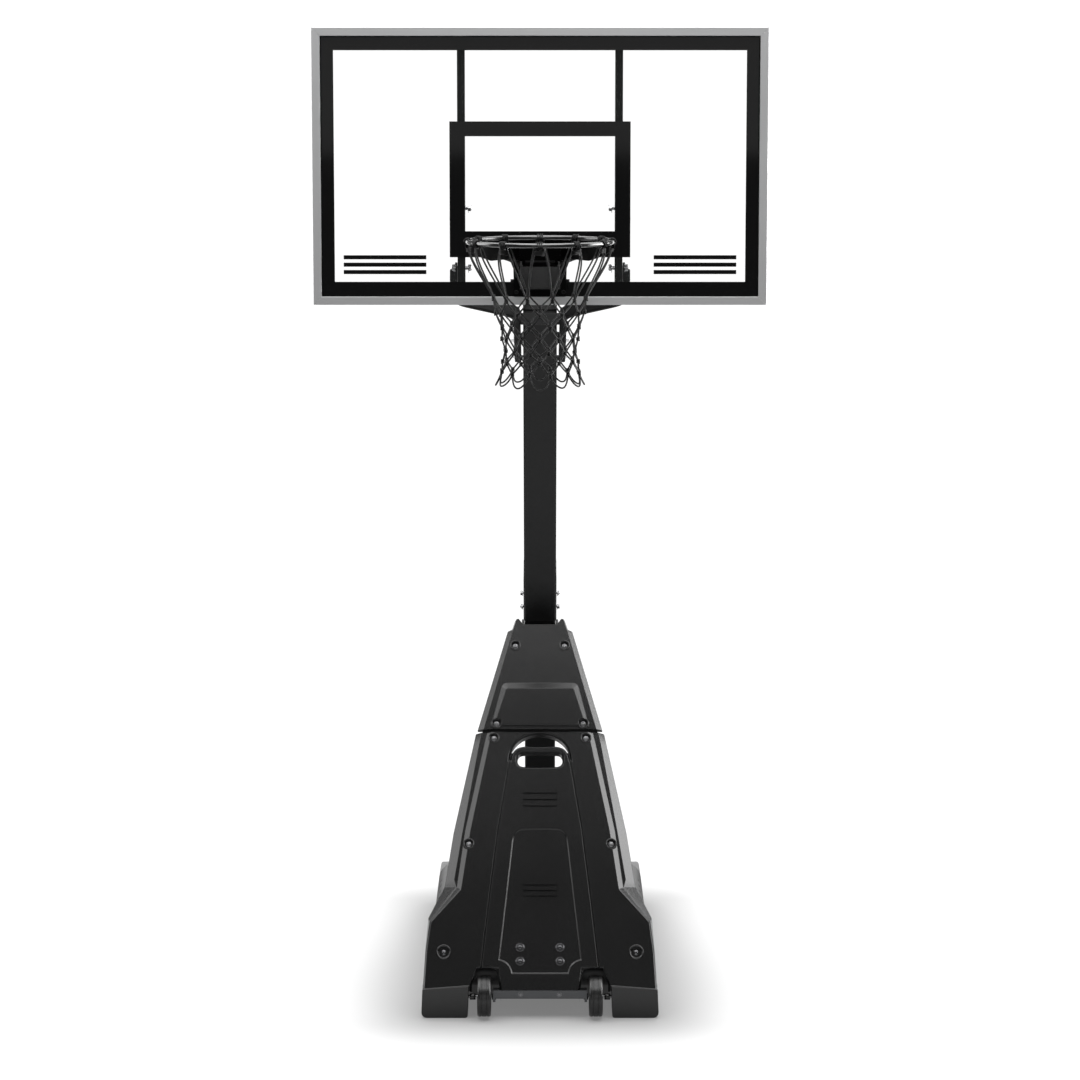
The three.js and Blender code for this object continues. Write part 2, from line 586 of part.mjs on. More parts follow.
function rim() {
  add('rim_ring', new THREE.TorusGeometry(RING_MIDDLE, RING_ROD, 8, 48)
    .translate(0, RING_Y, RING_Z), blackCoat);
  const top = RING_Z - RING_ROD - GAP;
  const radius = 242;
  const wall = [];
  for (let i = 0; i <= 8; i += 1) {
    const angle = (-4 + i * 6.5) * DEGREE;
    wall.push([radius * Math.cos(angle), RING_Y + radius * Math.sin(angle)]);
  }
  wall.push([72, -1166], [72, -1138]);
  const path = [...wall, ...wall.map(([x, y]) => [-x, y]).reverse()];
  const skirt = planPlate(outline(band(path, 5)), 2940, top);
  // the skirt's lower edge rises towards the player
  const slope = sidePlate(outline([[-1130, 2966], [-1200, 2966], [RING_Y, 3020], [RING_Y - 40, 3022],
    [RING_Y - 40, 2900], [-1130, 2900]]), -260, 260);
  const deckEdge = wall.filter(([, y]) => y > RING_Y + 120);
  const deck = planPlate(outline([...deckEdge, ...deckEdge.map(([x, y]) => [-x, y]).reverse()]),
    top - 5, top);
  const mouth = new THREE.CylinderGeometry(RING_MIDDLE, RING_MIDDLE, 200, 48)
    .rotateX(Math.PI / 2).translate(0, RING_Y, RING_Z);
  const lugs = SIDES.map(([, side]) => sidePlate(outline([[-1176, RIM_PIN.z], [-1172, 2941.5],
    [-1165, 2940], [-1158, 2941.5], [-1154, RIM_PIN.z], [-1140, 2975], [-1190, 2975]].reverse()),
  ...between(side, 50, 59.7)));
  const ties = SIDES.map(([, side]) => box(between(side, 50, 74), [-1176, -1145], [2968, 2976]));
  const brace = join(cut(join(skirt, cut(deck, mouth)), slope), ...lugs, ...ties);
  add('rim_brace', cut(brace, rod(6 + GAP, [-90, 90], RIM_PIN.y, RIM_PIN.z)), blackCoat);
}

function net() {
  // outer radius at each height, from the hooks under the ring to the last loops
  const shape = [[230, 3028], [196, 2950], [158, 2859], [147, 2809], [132, 2764], [124, 2710],
    [119, 2681], [124, 2649], [132, 2612], [150, 2566]];
  const inside = shape.map(([radius, z]) => [radius - 6, z]);
  add('net', turned([...shape.reverse(), ...inside, shape[0]], 24).translate(0, RING_Y, 0), cordBlack);
}

tank();
lowerCover();
upperCover();
coverBolts();
struts();
wheels();
pole();
headBracket();
lowerArms();
upperArms();
jack();
backboard();
rimMount();
rim();
net();

export default hoop;
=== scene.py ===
"""Looks of the portable basketball hoop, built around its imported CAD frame.

Shapes are worked out in millimetres in the frame's own axes (+X right, +Y back, +Z up)
and become metres when they are made into meshes.
"""
import math
import random

import bmesh
import bpy
from mathutils import Matrix, Vector


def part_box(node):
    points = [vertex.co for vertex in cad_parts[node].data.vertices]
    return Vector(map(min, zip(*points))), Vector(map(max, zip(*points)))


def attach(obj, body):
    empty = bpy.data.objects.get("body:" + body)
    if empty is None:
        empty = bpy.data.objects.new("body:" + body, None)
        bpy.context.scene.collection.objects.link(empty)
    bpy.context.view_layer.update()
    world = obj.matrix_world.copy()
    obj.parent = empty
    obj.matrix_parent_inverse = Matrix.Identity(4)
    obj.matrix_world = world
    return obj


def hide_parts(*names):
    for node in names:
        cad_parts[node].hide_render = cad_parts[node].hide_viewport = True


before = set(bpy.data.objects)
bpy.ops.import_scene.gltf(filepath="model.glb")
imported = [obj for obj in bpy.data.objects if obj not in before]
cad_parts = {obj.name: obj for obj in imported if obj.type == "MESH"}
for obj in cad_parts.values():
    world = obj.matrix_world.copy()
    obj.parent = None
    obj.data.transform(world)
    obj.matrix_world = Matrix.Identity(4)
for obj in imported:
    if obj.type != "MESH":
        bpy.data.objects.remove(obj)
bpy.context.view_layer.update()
MM = 0.001

# ---------------- driving dimensions
LEAN = math.radians(28)            # the pole leans forward and the front cover leans back
POLE_FOOT = 1550                   # y where the pole's centre line meets the floor
KNEE = (-59, 100)                  # y, z where the cover's slope meets the upright foot
RIM_PIVOT = (-1165, 2951)
ARM_SLOPE = math.radians(15.8)
ARM_PIVOT = (175, 2580)
ARM_RISE = 203
ARM_LENGTH = 1273.2
JACK_PIVOT = (778, 1700)
JACK_TILT = math.radians(18.74)

ring_low, ring_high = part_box("rim_ring")
RING_CENTRE = (ring_low + ring_high) / 2 / MM
RING_ROD = (ring_high.z - ring_low.z) / 2 / MM
RING_RADIUS = (ring_high.x - ring_low.x) / 2 / MM - RING_ROD
GLASS_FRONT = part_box("glass_panel")[0].y / MM
top_low, top_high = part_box("frame_top")
BOARD_HALF = top_high.x / MM
BOARD_TOP = top_high.z / MM
BOARD_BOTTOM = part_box("frame_bottom")[0].z / MM
FRAME_FACE = (top_high.z - top_low.z) / MM


# ---------------- frames of the sloping parts
def tilted(y, z, angle):
    """Places (x, y, z) of a tilted sub-frame, in millimetres, in the row frame."""
    turn = Matrix.Translation((0, y, z)) @ Matrix.Rotation(angle, 4, "X")
    return lambda x, v, w: turn @ Vector((x, v, w))


in_pole = tilted(POLE_FOOT, 0, LEAN)
on_cover = tilted(*KNEE, -LEAN)
in_lower_arm = tilted(*ARM_PIVOT, -ARM_SLOPE)
in_upper_arm = tilted(ARM_PIVOT[0], ARM_PIVOT[1] + ARM_RISE, -ARM_SLOPE)
in_jack = tilted(*JACK_PIVOT, JACK_TILT)


def in_row(x, y, z):
    return Vector((x, y, z))


# ---------------- materials
class Surface:
    """A new node material, whose look is wired one layer at a time."""

    def __init__(self, name, values):
        self.material = bpy.data.materials.new(name)
        self.material.use_nodes = True
        self.tree = self.material.node_tree
        self.shader = self.tree.nodes["Principled BSDF"]
        for socket, value in values.items():
            self.shader.inputs[socket].default_value = value
        self.place = self.node("ShaderNodeTexCoord")

    def node(self, kind, **values):
        made = self.tree.nodes.new(kind)
        for key, value in values.items():
            if key in made.inputs:
                made.inputs[key].default_value = value
            else:
                setattr(made, key, value)
        return made

    def wire(self, source, output, target, socket):
        self.tree.links.new(source.outputs[output], target.inputs[socket])

    def texture(self, kind, **values):
        """A texture that is fixed to the object."""
        made = self.node(kind, **values)
        self.wire(self.place, "Object", made, "Vector")
        return made

    def two_tone(self, source, color, dark, light):
        """A base colour that drifts between dark and light times color."""
        mix = self.node("ShaderNodeMix", data_type="RGBA")
        mix.inputs[6].default_value = [c * dark for c in color] + [1]
        mix.inputs[7].default_value = [min(c * light, 1) for c in color] + [1]
        self.wire(source, "Fac", mix, 0)
        self.wire(mix, 2, self.shader, "Base Color")

    def broken_gloss(self, source, low, high):
        """A roughness that drifts from low to high."""
        gloss = self.node("ShaderNodeMapRange", **{"To Min": low, "To Max": high})
        self.wire(source, "Fac", gloss, "Value")
        self.wire(gloss, "Result", self.shader, "Roughness")

    def grain(self, source, strength, distance):
        """A fine relief; distance is in metres."""
        dents = self.node("ShaderNodeBump", Strength=strength, Distance=distance)
        self.wire(source, "Fac", dents, "Height")
        self.wire(dents, "Normal", self.shader, "Normal")


def painted(name, color, roughness, grain, bump, gloss_level=0.5, coat=0.0):
    """Plastic or powder coat: base colour that drifts a little, broken gloss and a fine grain."""
    made = Surface(name, {"Specular IOR Level": gloss_level, "Coat Weight": coat,
                          "Coat Roughness": 0.25})
    drift = made.texture("ShaderNodeTexNoise", Scale=3.0, Detail=3.0, Roughness=0.55)
    fine = made.texture("ShaderNodeTexNoise", Scale=grain, Detail=2.0, Roughness=0.6)
    made.two_tone(drift, color, 0.75, 1.25)
    made.broken_gloss(drift, roughness * 0.86, roughness * 1.14)
    made.grain(fine, bump, 0.0006)
    return made.material


def metal(name, color, roughness, stretch):
    """Bare metal with lines along one axis: stretch scales the noise in x, y and z."""
    made = Surface(name, {"Metallic": 1.0})
    scale = made.texture("ShaderNodeMapping", Scale=stretch)
    lines = made.node("ShaderNodeTexNoise", Scale=1.0, Detail=4.0, Roughness=0.7)
    made.wire(scale, "Vector", lines, "Vector")
    clouds = made.texture("ShaderNodeTexNoise", Scale=2.5, Detail=3.0)
    made.two_tone(clouds, color, 0.93, 1.06)
    made.broken_gloss(lines, roughness * 0.8, roughness * 1.2)
    made.grain(lines, 0.05, 0.0003)
    return made.material


def braided(name, color):
    """Cord: a fine twist of light and dark strands."""
    made = Surface(name, {"Roughness": 0.42, "Specular IOR Level": 0.4})
    twist = made.texture("ShaderNodeTexWave", Scale=420.0, Distortion=2.0, Detail=1.0,
                         bands_direction="DIAGONAL")
    made.two_tone(twist, color, 0.6, 1.5)
    made.grain(twist, 0.5, 0.0008)
    return made.material


def clear(name, color, alpha):
    """A thin clear or printed layer: see-through by its alpha, with a smooth gloss."""
    made = Surface(name, {"Base Color": (*color, 1), "Alpha": alpha, "Specular IOR Level": 0.12})
    haze = made.texture("ShaderNodeTexNoise", Scale=4.0, Detail=2.0)
    made.broken_gloss(haze, 0.03, 0.07)
    return made.material


MOULDED = painted("moulded_plastic", (0.0048, 0.0049, 0.005), 0.26, 900, 0.2)
TANK_PLASTIC = painted("tank_plastic", (0.014, 0.0142, 0.0145), 0.42, 650, 0.35)
COAT = painted("powder_coat", (0.0085, 0.0087, 0.009), 0.36, 1400, 0.2, gloss_level=0.25)
POLE_COAT = painted("pole_coat", (0.012, 0.0122, 0.0125), 0.4, 1400, 0.2, gloss_level=0.25)
ARM_COAT = painted("arm_coat", (0.006, 0.0062, 0.0064), 0.5, 1400, 0.2, gloss_level=0.05)
PLATE_COAT = painted("plate_coat", (0.018, 0.0182, 0.0185), 0.36, 1400, 0.2, gloss_level=0.7)
RIM_COAT = painted("rim_coat", (0.004, 0.004, 0.0042), 0.13, 1500, 0.05, gloss_level=0.9, coat=1.0)
RUBBER = painted("wheel_rubber", (0.007, 0.007, 0.0072), 0.33, 700, 0.25)
# a flat black for the thin strip on the glass along the frame's inner edge
EDGE_LINE_BLACK = painted("edge_line_black", (0.004, 0.004, 0.004), 0.7, 500, 0.1, gloss_level=0.2)
GRIP = painted("grip_plastic", (0.015, 0.015, 0.015), 0.5, 500, 0.5)
FRAME_X = metal("frame_aluminium_x", (0.84, 0.845, 0.85), 0.5, (3, 220, 220))
FRAME_Z = metal("frame_aluminium_z", (0.84, 0.845, 0.85), 0.5, (220, 220, 3))
BRIGHT = metal("bright_steel", (0.6, 0.6, 0.61), 0.2, (60, 60, 60))
DARK_STEEL = metal("dark_steel", (0.14, 0.14, 0.145), 0.24, (60, 60, 60))
SCREW_STEEL = metal("screw_steel", (0.42, 0.42, 0.43), 0.3, (60, 60, 60))
ZINC = metal("zinc_steel", (0.22, 0.225, 0.23), 0.36, (4, 160, 160))
BEAM_STEEL = metal("beam_steel", (0.085, 0.087, 0.09), 0.36, (4, 160, 160))
CORD = braided("net_cord", (0.005, 0.005, 0.0054))
GLASS = clear("clear_glass", (0.9, 0.95, 0.93), 0.03)
PRINT = clear("black_print", (0.018, 0.018, 0.0185), 0.985)


# ---------------- mesh building
class Form:
    """Points in millimetres and faces, gathered before they become one mesh."""

    def __init__(self):
        self.points = []
        self.faces = []

    def add(self, points, faces):
        start = len(self.points)
        self.points += [Vector(p) for p in points]
        self.faces += [[start + i for i in face] for face in faces]
        return self

    def strip(self, rings, loop=False):
        """Joins closed rings of equal length, and caps the ends or joins last to first."""
        size = len(rings[0])
        points = [p for ring in rings for p in ring]
        faces = []
        last = len(rings) if loop else len(rings) - 1
        for r in range(last):
            a, b = r * size, (r + 1) % len(rings) * size
            for i in range(size):
                j = (i + 1) % size
                faces.append([a + i, a + j, b + j, b + i])
        if not loop:
            faces.append(list(range(size))[::-1])
            faces.append([(len(rings) - 1) * size + i for i in range(size)])
        return self.add(points, faces)

    def mesh(self, name, material):
        """The object: outward faces, smooth shading broken at sharp edges."""
        data = bpy.data.meshes.new(name)
        data.from_pydata([p * MM for p in self.points], [], self.faces)
        made = bpy.data.objects.new(name, data)
        bpy.context.scene.collection.objects.link(made)
        data.materials.append(material)
        tidy_mesh(made)
        return made


def weld(obj, distance, outward):
    """Merges points closer than distance in metres, and turns the faces outward if asked."""
    shape = bmesh.new()
    shape.from_mesh(obj.data)
    bmesh.ops.remove_doubles(shape, verts=shape.verts, dist=distance)
    if outward:
        bmesh.ops.recalc_face_normals(shape, faces=shape.faces)
    shape.to_mesh(obj.data)
    shape.free()


def tidy_mesh(obj):
    weld(obj, 1e-6, True)
    shade(obj, 38)


def shade(obj, angle):
    """Smooth, but for the edges sharper than angle degrees."""
    obj.data.polygons.foreach_set("use_smooth", [True] * len(obj.data.polygons))
    obj.data.set_sharp_from_angle(angle=math.radians(angle))


def finish_piece(obj, body, slot, *nodes):
    """Rides the piece on its body and hides the CAD nodes it stands for; slot is not used."""
    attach(obj, body)
    if nodes:
        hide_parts(*nodes)
    return obj


def apply_modifiers(obj):
    bpy.context.view_layer.update()
    baked = obj.evaluated_get(bpy.context.evaluated_depsgraph_get())
    data = bpy.data.meshes.new_from_object(baked)
    obj.modifiers.clear()
    old = obj.data
    obj.data = data
    bpy.data.meshes.remove(old)
    return obj


def combine(obj, operation, tools):
    """Booleans obj with each tool in turn and removes the tools."""
    for tool in tools:
        step = obj.modifiers.new("step", "BOOLEAN")
        step.operation = operation
        step.solver = "EXACT"
        step.object = tool
        apply_modifiers(obj)
        bpy.data.objects.remove(tool)
    tidy_mesh(obj)
    return obj


def cut(obj, *tools):
    return combine(obj, "DIFFERENCE", tools)


def unite(obj, *tools):
    return combine(obj, "UNION", tools)


def add_bevel(obj, width, segments, angle):
    bevel = obj.modifiers.new("round", "BEVEL")
    bevel.width = width * MM
    bevel.segments = segments
    bevel.limit_method = "ANGLE"
    bevel.angle_limit = math.radians(angle)
    return bevel


def soften(obj, width, angle):
    """Rounds the edges sharper than angle by width millimetres, short edges welded first."""
    weld(obj, width * MM * 0.6, False)
    add_bevel(obj, width, 3, angle).use_clamp_overlap = False
    apply_modifiers(obj)
    shade(obj, 32)
    flat = obj.modifiers.new("flat", "WEIGHTED_NORMAL")
    flat.weight = 100
    flat.keep_sharp = True
    return obj


def both_sides(right):
    """A closed outline from its right half, given from bottom to top."""
    return list(right) + [(-x, s) for x, s in reversed(right) if x]


def prism(name, outline, low, high, place):
    """An outline of (x, s) pairs, thick from low to high along the frame's second axis."""
    return stack(name, [(low, outline), (high, outline)], place)


def stack(name, levels, place):
    """Closed outlines of equal length, each at its own depth, joined in order and capped."""
    rings = [[place(x, n, s) for x, s in outline] for n, outline in levels]
    return Form().strip(rings).mesh(name, MOULDED)


def slab(outline, xs, place=in_row):
    """An outline of (y, z) pairs repeated at each x."""
    return [[place(x, y, z) for y, z in outline] for x in xs]


def block(name, xs, ys, zs, place=in_row):
    corners = [(xs[0], zs[0]), (xs[1], zs[0]), (xs[1], zs[1]), (xs[0], zs[1])]
    return prism(name, corners, ys[0], ys[1], place)


def arc(cx, cy, radius, start, end, steps):
    """Points on an arc, angles in degrees."""
    return [(cx + radius * math.cos(math.radians(start + (end - start) * i / steps)),
             cy + radius * math.sin(math.radians(start + (end - start) * i / steps)))
            for i in range(steps + 1)]


def rounded(points, radius, steps=6):
    """The outline with each corner rounded; radius is one number or one for each corner."""
    result = []
    count = len(points)
    for i, corner in enumerate(points):
        reach = radius[i] if isinstance(radius, (list, tuple)) else radius
        here = Vector(corner)
        before = Vector(points[i - 1]) - here
        after = Vector(points[(i + 1) % count]) - here
        if not reach:
            result.append(tuple(here))
            continue
        back = min(reach, before.length * 0.48, after.length * 0.48)
        start, end = here + before.normalized() * back, here + after.normalized() * back
        for k in range(steps + 1):
            t = k / steps
            result.append(tuple(start * (1 - t) ** 2 + here * 2 * t * (1 - t) + end * t * t))
    return result


def rectangle(half_u, half_v, radius, steps=4):
    return rounded([(-half_u, -half_v), (half_u, -half_v), (half_u, half_v), (-half_u, half_v)],
                   radius, steps)


def circle(radius, sides):
    """The corners of a regular polygon, from the first axis round to the second."""
    return [(radius * math.cos(math.tau * i / sides), radius * math.sin(math.tau * i / sides))
            for i in range(sides)]


def turned(profile, place, sides):
    """Rings of (radius, height) about the second axis of place."""
    return [[place(u, height, v) for u, v in circle(radius, sides)] for radius, height in profile]


def along(start, direction):
    """A place function whose second axis runs along direction from start."""
    turn = Vector((0, 1, 0)).rotation_difference(Vector(direction)).to_matrix()
    return lambda x, y, z: Vector(start) + turn @ Vector((x, y, z))


def seat_in(place, x, n, s):
    """A place function at (x, n, s) of place, with the same second axis."""
    centre = place(x, n, s)
    return along(centre, place(x, n + 1, s) - centre)


def tube_rings(points, radius, sides):
    """Rings of a round tube that follows points, without twist."""
    points = [Vector(p) for p in points]
    rings = []
    side = None
    for i, point in enumerate(points):
        ahead = points[min(i + 1, len(points) - 1)] - points[max(i - 1, 0)]
        ahead.normalize()
        if side is None:
            side = ahead.orthogonal().normalized()
        side = (side - ahead * side.dot(ahead)).normalized()
        other = ahead.cross(side)
        rings.append([point + (side * u + other * v) * radius for u, v in circle(1, sides)])
    return rings


def curve(start, start_way, end, end_way, steps):
    """Points of a smooth curve that leaves along start_way and arrives along end_way."""
    points = []
    for i in range(steps + 1):
        t = i / steps
        points.append(start * (2 * t ** 3 - 3 * t ** 2 + 1) + start_way * (t ** 3 - 2 * t ** 2 + t)
                      + end * (-2 * t ** 3 + 3 * t ** 2) + end_way * (t ** 3 - t ** 2))
    return points


# ---------------- bolts
def hex_bolt(form, start, way, length, radius, head, nut=True, tip=10):
    """A bolt with a washer and a hexagon head at start, and a washer and nut at its far end."""
    place = along(start, way)
    hexagon = circle(head, 6)

    def hexagonal(low, high):
        slim = [(x * 0.9, z * 0.9) for x, z in hexagon]
        form.strip([[place(x, y, z) for x, z in outline] for y, outline in
                    ((low, hexagon), (high - 1.5, hexagon), (high, slim))])

    def washer(low, high):
        form.strip(turned([(head * 1.3, low), (head * 1.3, high)], place, 32))

    thick = radius * 1.1
    hexagonal(0, -thick)
    washer(0, 2.2)
    end = length + tip if nut else length
    form.strip(turned([(radius, 0), (radius, end - 1.5), (radius * 0.8, end)], place, 20))
    if nut:
        washer(length - 2.2, length)
        hexagonal(length, length + thick)
    return form


# ---------------- covers
LOWER_FACE = [(442, 6), (433, 166), (419, 275), (304, 405), (301, 421), (269, 639), (199, 986),
              (188, 1036)]
LOWER_STEP = [(447, 6), (438, 167), (424, 281), (321, 416), (319, 433), (291, 639), (219, 986),
              (207, 1037)]
LOWER_LEDGE = [(448, 6), (439, 168), (425, 283), (323, 418), (331, 446), (300, 639), (239, 986),
               (229, 1037)]
LOWER_EDGE = [(450, 6), (441, 168), (431, 300), (369, 424), (366, 442), (336, 639), (263, 986),
              (252, 1039)]
UPPER_FACE = [(221, 1046), (109, 1449), (106, 1459), (93, 1501), (85, 1503), (67, 1480)]
UPPER_EDGE = [(245, 1046), (128, 1455), (111, 1464), (99, 1500), (84, 1505), (67, 1482)]
COVER_WALL = 14
LOWER_BOLTS = [(180, 1011), (276, 585), (369, 158)]
UPPER_BOLTS = [(97, 1391), (170, 1069)]
PANEL_BOLTS = [(76.5, 177), (76.5, 123)]
BOLT_RECESS = 12
SHADED_BELOW = 200                 # the screws under this height on the cover are darker
PANEL_DEPTH = 5


def inset(outline, distance):
    """A counter-clockwise outline moved inward by distance at every corner."""
    moved = []
    for i, corner in enumerate(outline):
        here = Vector(corner)
        a = (here - Vector(outline[i - 1])).normalized()
        b = (Vector(outline[(i + 1) % len(outline)]) - here).normalized()
        inward = Vector((-a.y - b.y, a.x + b.x)).normalized()
        reach = distance / max(inward.dot(Vector((-a.y, a.x))), 0.4)
        moved.append(tuple(here + inward * reach))
    return moved


def ribbon(points, width):
    """The outline of a line of even width through points."""
    left, right = [], []
    for i, point in enumerate(points):
        ahead = Vector(points[min(i + 1, len(points) - 1)]) - Vector(points[max(i - 1, 0)])
        across = Vector((-ahead.y, ahead.x)).normalized() * width / 2
        left.append(tuple(Vector(point) + across))
        right.append(tuple(Vector(point) - across))
    return right + left[::-1]


def flared(name, outline, place, lip, depth, far):
    """A cutter for an opening whose mouth is chamfered: lip wide and depth deep."""
    wide = inset(outline, -lip)
    return stack(name, [(-12, wide), (0, wide), (depth, outline), (far, outline)], place)


def recess_tools(bolts, place, face, wide=1.0):
    """A round boss for each bolt, and the cutter that hollows it, both scaled by wide."""
    bosses, cutters = [], []
    for x, s in bolts:
        for side in (-1, 1):
            seat = seat_in(place, side * x, face, s)
            boss = [(20 * wide, -0.8), (21.5 * wide, 0.8), (21.5 * wide, 24)]
            hollow = [(20 * wide, -6), (18.6 * wide, -1), (15.6 * wide, 2),
                      (14.6 * wide, BOLT_RECESS)]
            bosses.append(Form().strip(turned(boss, seat, 32)).mesh("boss", MOULDED))
            cutters.append(Form().strip(turned(hollow, seat, 32)).mesh("recess", MOULDED))
    return bosses, cutters


ARCH = [(120 * math.cos(math.radians(a)), 922 + 107 * math.sin(math.radians(a)))
        for a in range(0, 181, 9)]
TONGUE = rounded([(-124, 860), (124, 860), (108, 978), (-108, 978)], [0, 0, 52, 52], 10)
SLOT = rounded([(-88, 896), (88, 896), (88, 952), (-88, 952)], 28, 10)
PANEL_GROOVE = [(115, 940), (119, 913), (163, 643), (200, 330), (226, 92)]


def panel_outline():
    """The recessed panel: rounded above, with a concave notch at each lower corner."""
    notch = arc(165, 72, 57, 180, 98, 8)
    right = [(108, 76)] + notch[1:] + [(131, 362)]
    shoulder = rounded([(131, 362), (101, 643), (0, 643)], [0, 46, 0], 8)[1:-1]
    return both_sides(right + shoulder)


def emblem_bars(place, centre, face, widths, height, gap, rise):
    """Generic raised bars: plain and straight, one above the other."""
    form = Form()
    s = centre
    for width in widths:
        bar = [(-width / 2, s), (width / 2, s), (width / 2, s + height), (-width / 2, s + height)]
        form.strip([[place(x, n, z) for x, z in outline] for n, outline in
                    ((face + 2, bar), (face - rise * 0.4, bar), (face - rise, inset(bar, 1.2)))])
        s += height + gap
    return form


def foot(side):
    """One foot: an upright block whose front is flush with the cover's knee."""
    outline = rounded([(276, 0), (454, 0), (449, 112), (272, 124)], [12, 26, 0, 0], 9)
    outline = [(x * side, z) for x, z in outline]
    if side < 0:
        outline = outline[::-1]
    return stack("foot", [(-59, outline), (55, outline)], in_row)


def wheel_well(side):
    """A cutter for the opening over a wheel."""
    outline = [(143, -20), (262, -20), (260, 128), (240, 178)]
    outline += rounded([(240, 181), (163, 181), (147, 60)], [0, 34, 0], 9)[:-1]
    outline = [(x * side, z) for x, z in outline][::side]
    return prism("well", outline, -160, 62, in_row)


def well_mouth(side):
    """A cutter that chamfers the well's edge where the cover's face slopes."""
    outline = [(262, 90), (260, 128), (240, 181), (163, 181), (150, 90)]
    sloped = [(x * side, (z - KNEE[1]) / math.cos(LEAN)) for x, z in outline][::side]
    return flared("well_mouth", sloped, on_cover, 7, 8, 12)


def lower_cover():
    levels = [(0, LOWER_FACE), (14, LOWER_STEP), (14.4, LOWER_LEDGE), (44, LOWER_EDGE),
              (60, LOWER_EDGE)]
    levels = [(n, both_sides(outline)) for n, outline in levels]
    cover = stack("lower_cover_shell", levels, on_cover)
    face, step, ledge, edge = (outline for n, outline in levels[:4])
    hollow = stack("hollow", [(COVER_WALL, inset(face, 16)), (COVER_WALL * 2, inset(step, 16)),
                              (50, inset(ledge, 12)), (90, inset(edge, 6))], on_cover)
    thick = block("thick", (-147, 147), (0, 54), (868, 1060), on_cover)
    cut(hollow, thick)
    cut(cover, hollow)
    bosses, recesses = recess_tools(LOWER_BOLTS[:2], on_cover, 0)
    foot_bosses, foot_recesses = recess_tools(LOWER_BOLTS[2:], on_cover, 0, 1.35)
    seam_lip = block("seam_lip", (-226, 226), (22, 36), (1018, 1062), on_cover)
    unite(cover, *bosses, *foot_bosses, seam_lip, foot(1), foot(-1))
    arch = flared("arch", ARCH, on_cover, 6, 8, 90)
    tongue = stack("tongue", [(-14, inset(TONGUE, 12)), (-1, inset(TONGUE, 6)), (9, TONGUE),
                              (110, TONGUE)], on_cover)
    floor = block("floor", (-150, 150), (9, 130), (870, 952), on_cover)
    cut(arch, tongue, floor)
    slot = flared("slot", SLOT, on_cover, 8, 10, 90)
    grooves = []
    for side in (-1, 1):
        line = ribbon([(side * x, s) for x, s in PANEL_GROOVE], 6)
        grooves.append(prism("groove", line, -5, 6, on_cover))
    panel = panel_outline()
    recess = stack("recess", [(-4, inset(panel, -3)), (0, inset(panel, -2)),
                              (PANEL_DEPTH, inset(panel, 2))], on_cover)
    under = block("under", (-186, 186), (-150, 58), (-20, 108))
    cut(cover, arch, slot, *grooves, recess, *recesses, *foot_recesses, wheel_well(1),
        wheel_well(-1), well_mouth(1), well_mouth(-1), under)
    soften(cover, 1.8, 13)
    finish_piece(cover, "root", "base_plastic", "lower_cover")

    mark = emblem_bars(on_cover, 735, 0, (130, 130, 130), 17, 9, 6)
    finish_piece(mark.mesh("cover_emblem", MOULDED), "root", "base_plastic")
    bars = emblem_bars(on_cover, 378, PANEL_DEPTH, (130, 130, 130), 14, 8, 5)
    finish_piece(bars.mesh("panel_emblem", MOULDED), "root", "base_plastic")


def upper_cover():
    levels = [(0, UPPER_FACE), (21, UPPER_EDGE), (40, UPPER_EDGE)]
    cover = stack("upper_cover_shell", [(n, both_sides(o)) for n, o in levels], on_cover)
    face, edge = both_sides(UPPER_FACE), both_sides(UPPER_EDGE)
    hollow = stack("hollow", [(COVER_WALL, inset(face, 14)), (30, inset(edge, 10)),
                              (60, inset(edge, 6))], on_cover)
    cut(cover, hollow)
    outer = rounded(both_sides([(193, 1056), (148, 1236)]), [3, 22, 22, 3], 5)
    inner = rounded(both_sides([(177, 1062), (131, 1211)]), [3, 5, 5, 3], 5)
    raised = stack("raised", [(-11, inner), (0, outer), (5, outer)], on_cover)
    bosses, recesses = recess_tools(UPPER_BOLTS[:1], on_cover, 0)
    more_bosses, more_recesses = recess_tools(UPPER_BOLTS[1:], on_cover, -6)
    unite(cover, raised, *bosses, *more_bosses)
    cut(cover, *recesses, *more_recesses)
    soften(cover, 1.8, 13)
    finish_piece(cover, "root", "base_plastic", "upper_cover")


def cover_bolts():
    """A flanged button head in each recess, with a socket, one piece for each."""
    places = [(x * side, s, 0) for x, s in LOWER_BOLTS for side in (-1, 1)]
    places += [(x * side, s, face) for (x, s), face in zip(UPPER_BOLTS, (0, -6))
               for side in (-1, 1)]
    for number, (x, s, face) in enumerate(places, 1):
        spot = seat_in(on_cover, x, face + BOLT_RECESS, s)
        profile = [(4, 24), (4, 0.1), (10, 0), (10, -1.2), (7, -1.8), (6.8, -4), (5, -6), (3, -6.6),
                   (2.8, -4)]
        steel = DARK_STEEL if s < SHADED_BELOW else SCREW_STEEL
        head = Form().strip(turned(profile, spot, 24)).mesh(f"cover_screw_{number}", steel)
        finish_piece(head, "root", "bright_steel", f"cover_bolt_{number}")
    form = Form()
    for x, s in PANEL_BOLTS:
        for side in (-1, 1):
            form.strip(turned([(16, 1), (16, -0.8), (14.8, -1.8), (13.2, -1.8), (12, -0.5),
                               (7.5, -0.5), (7, -3), (5, -4.2), (3, -4.2), (2.8, -2)],
                              seat_in(on_cover, side * x, PANEL_DEPTH, s), 32))
    finish_piece(form.mesh("panel_screws", DARK_STEEL), "root", "zinc_steel")


# ---------------- tank
TANK_TOP = 431
CAP_SPOT = (215, 520)              # x, y of the filler cap


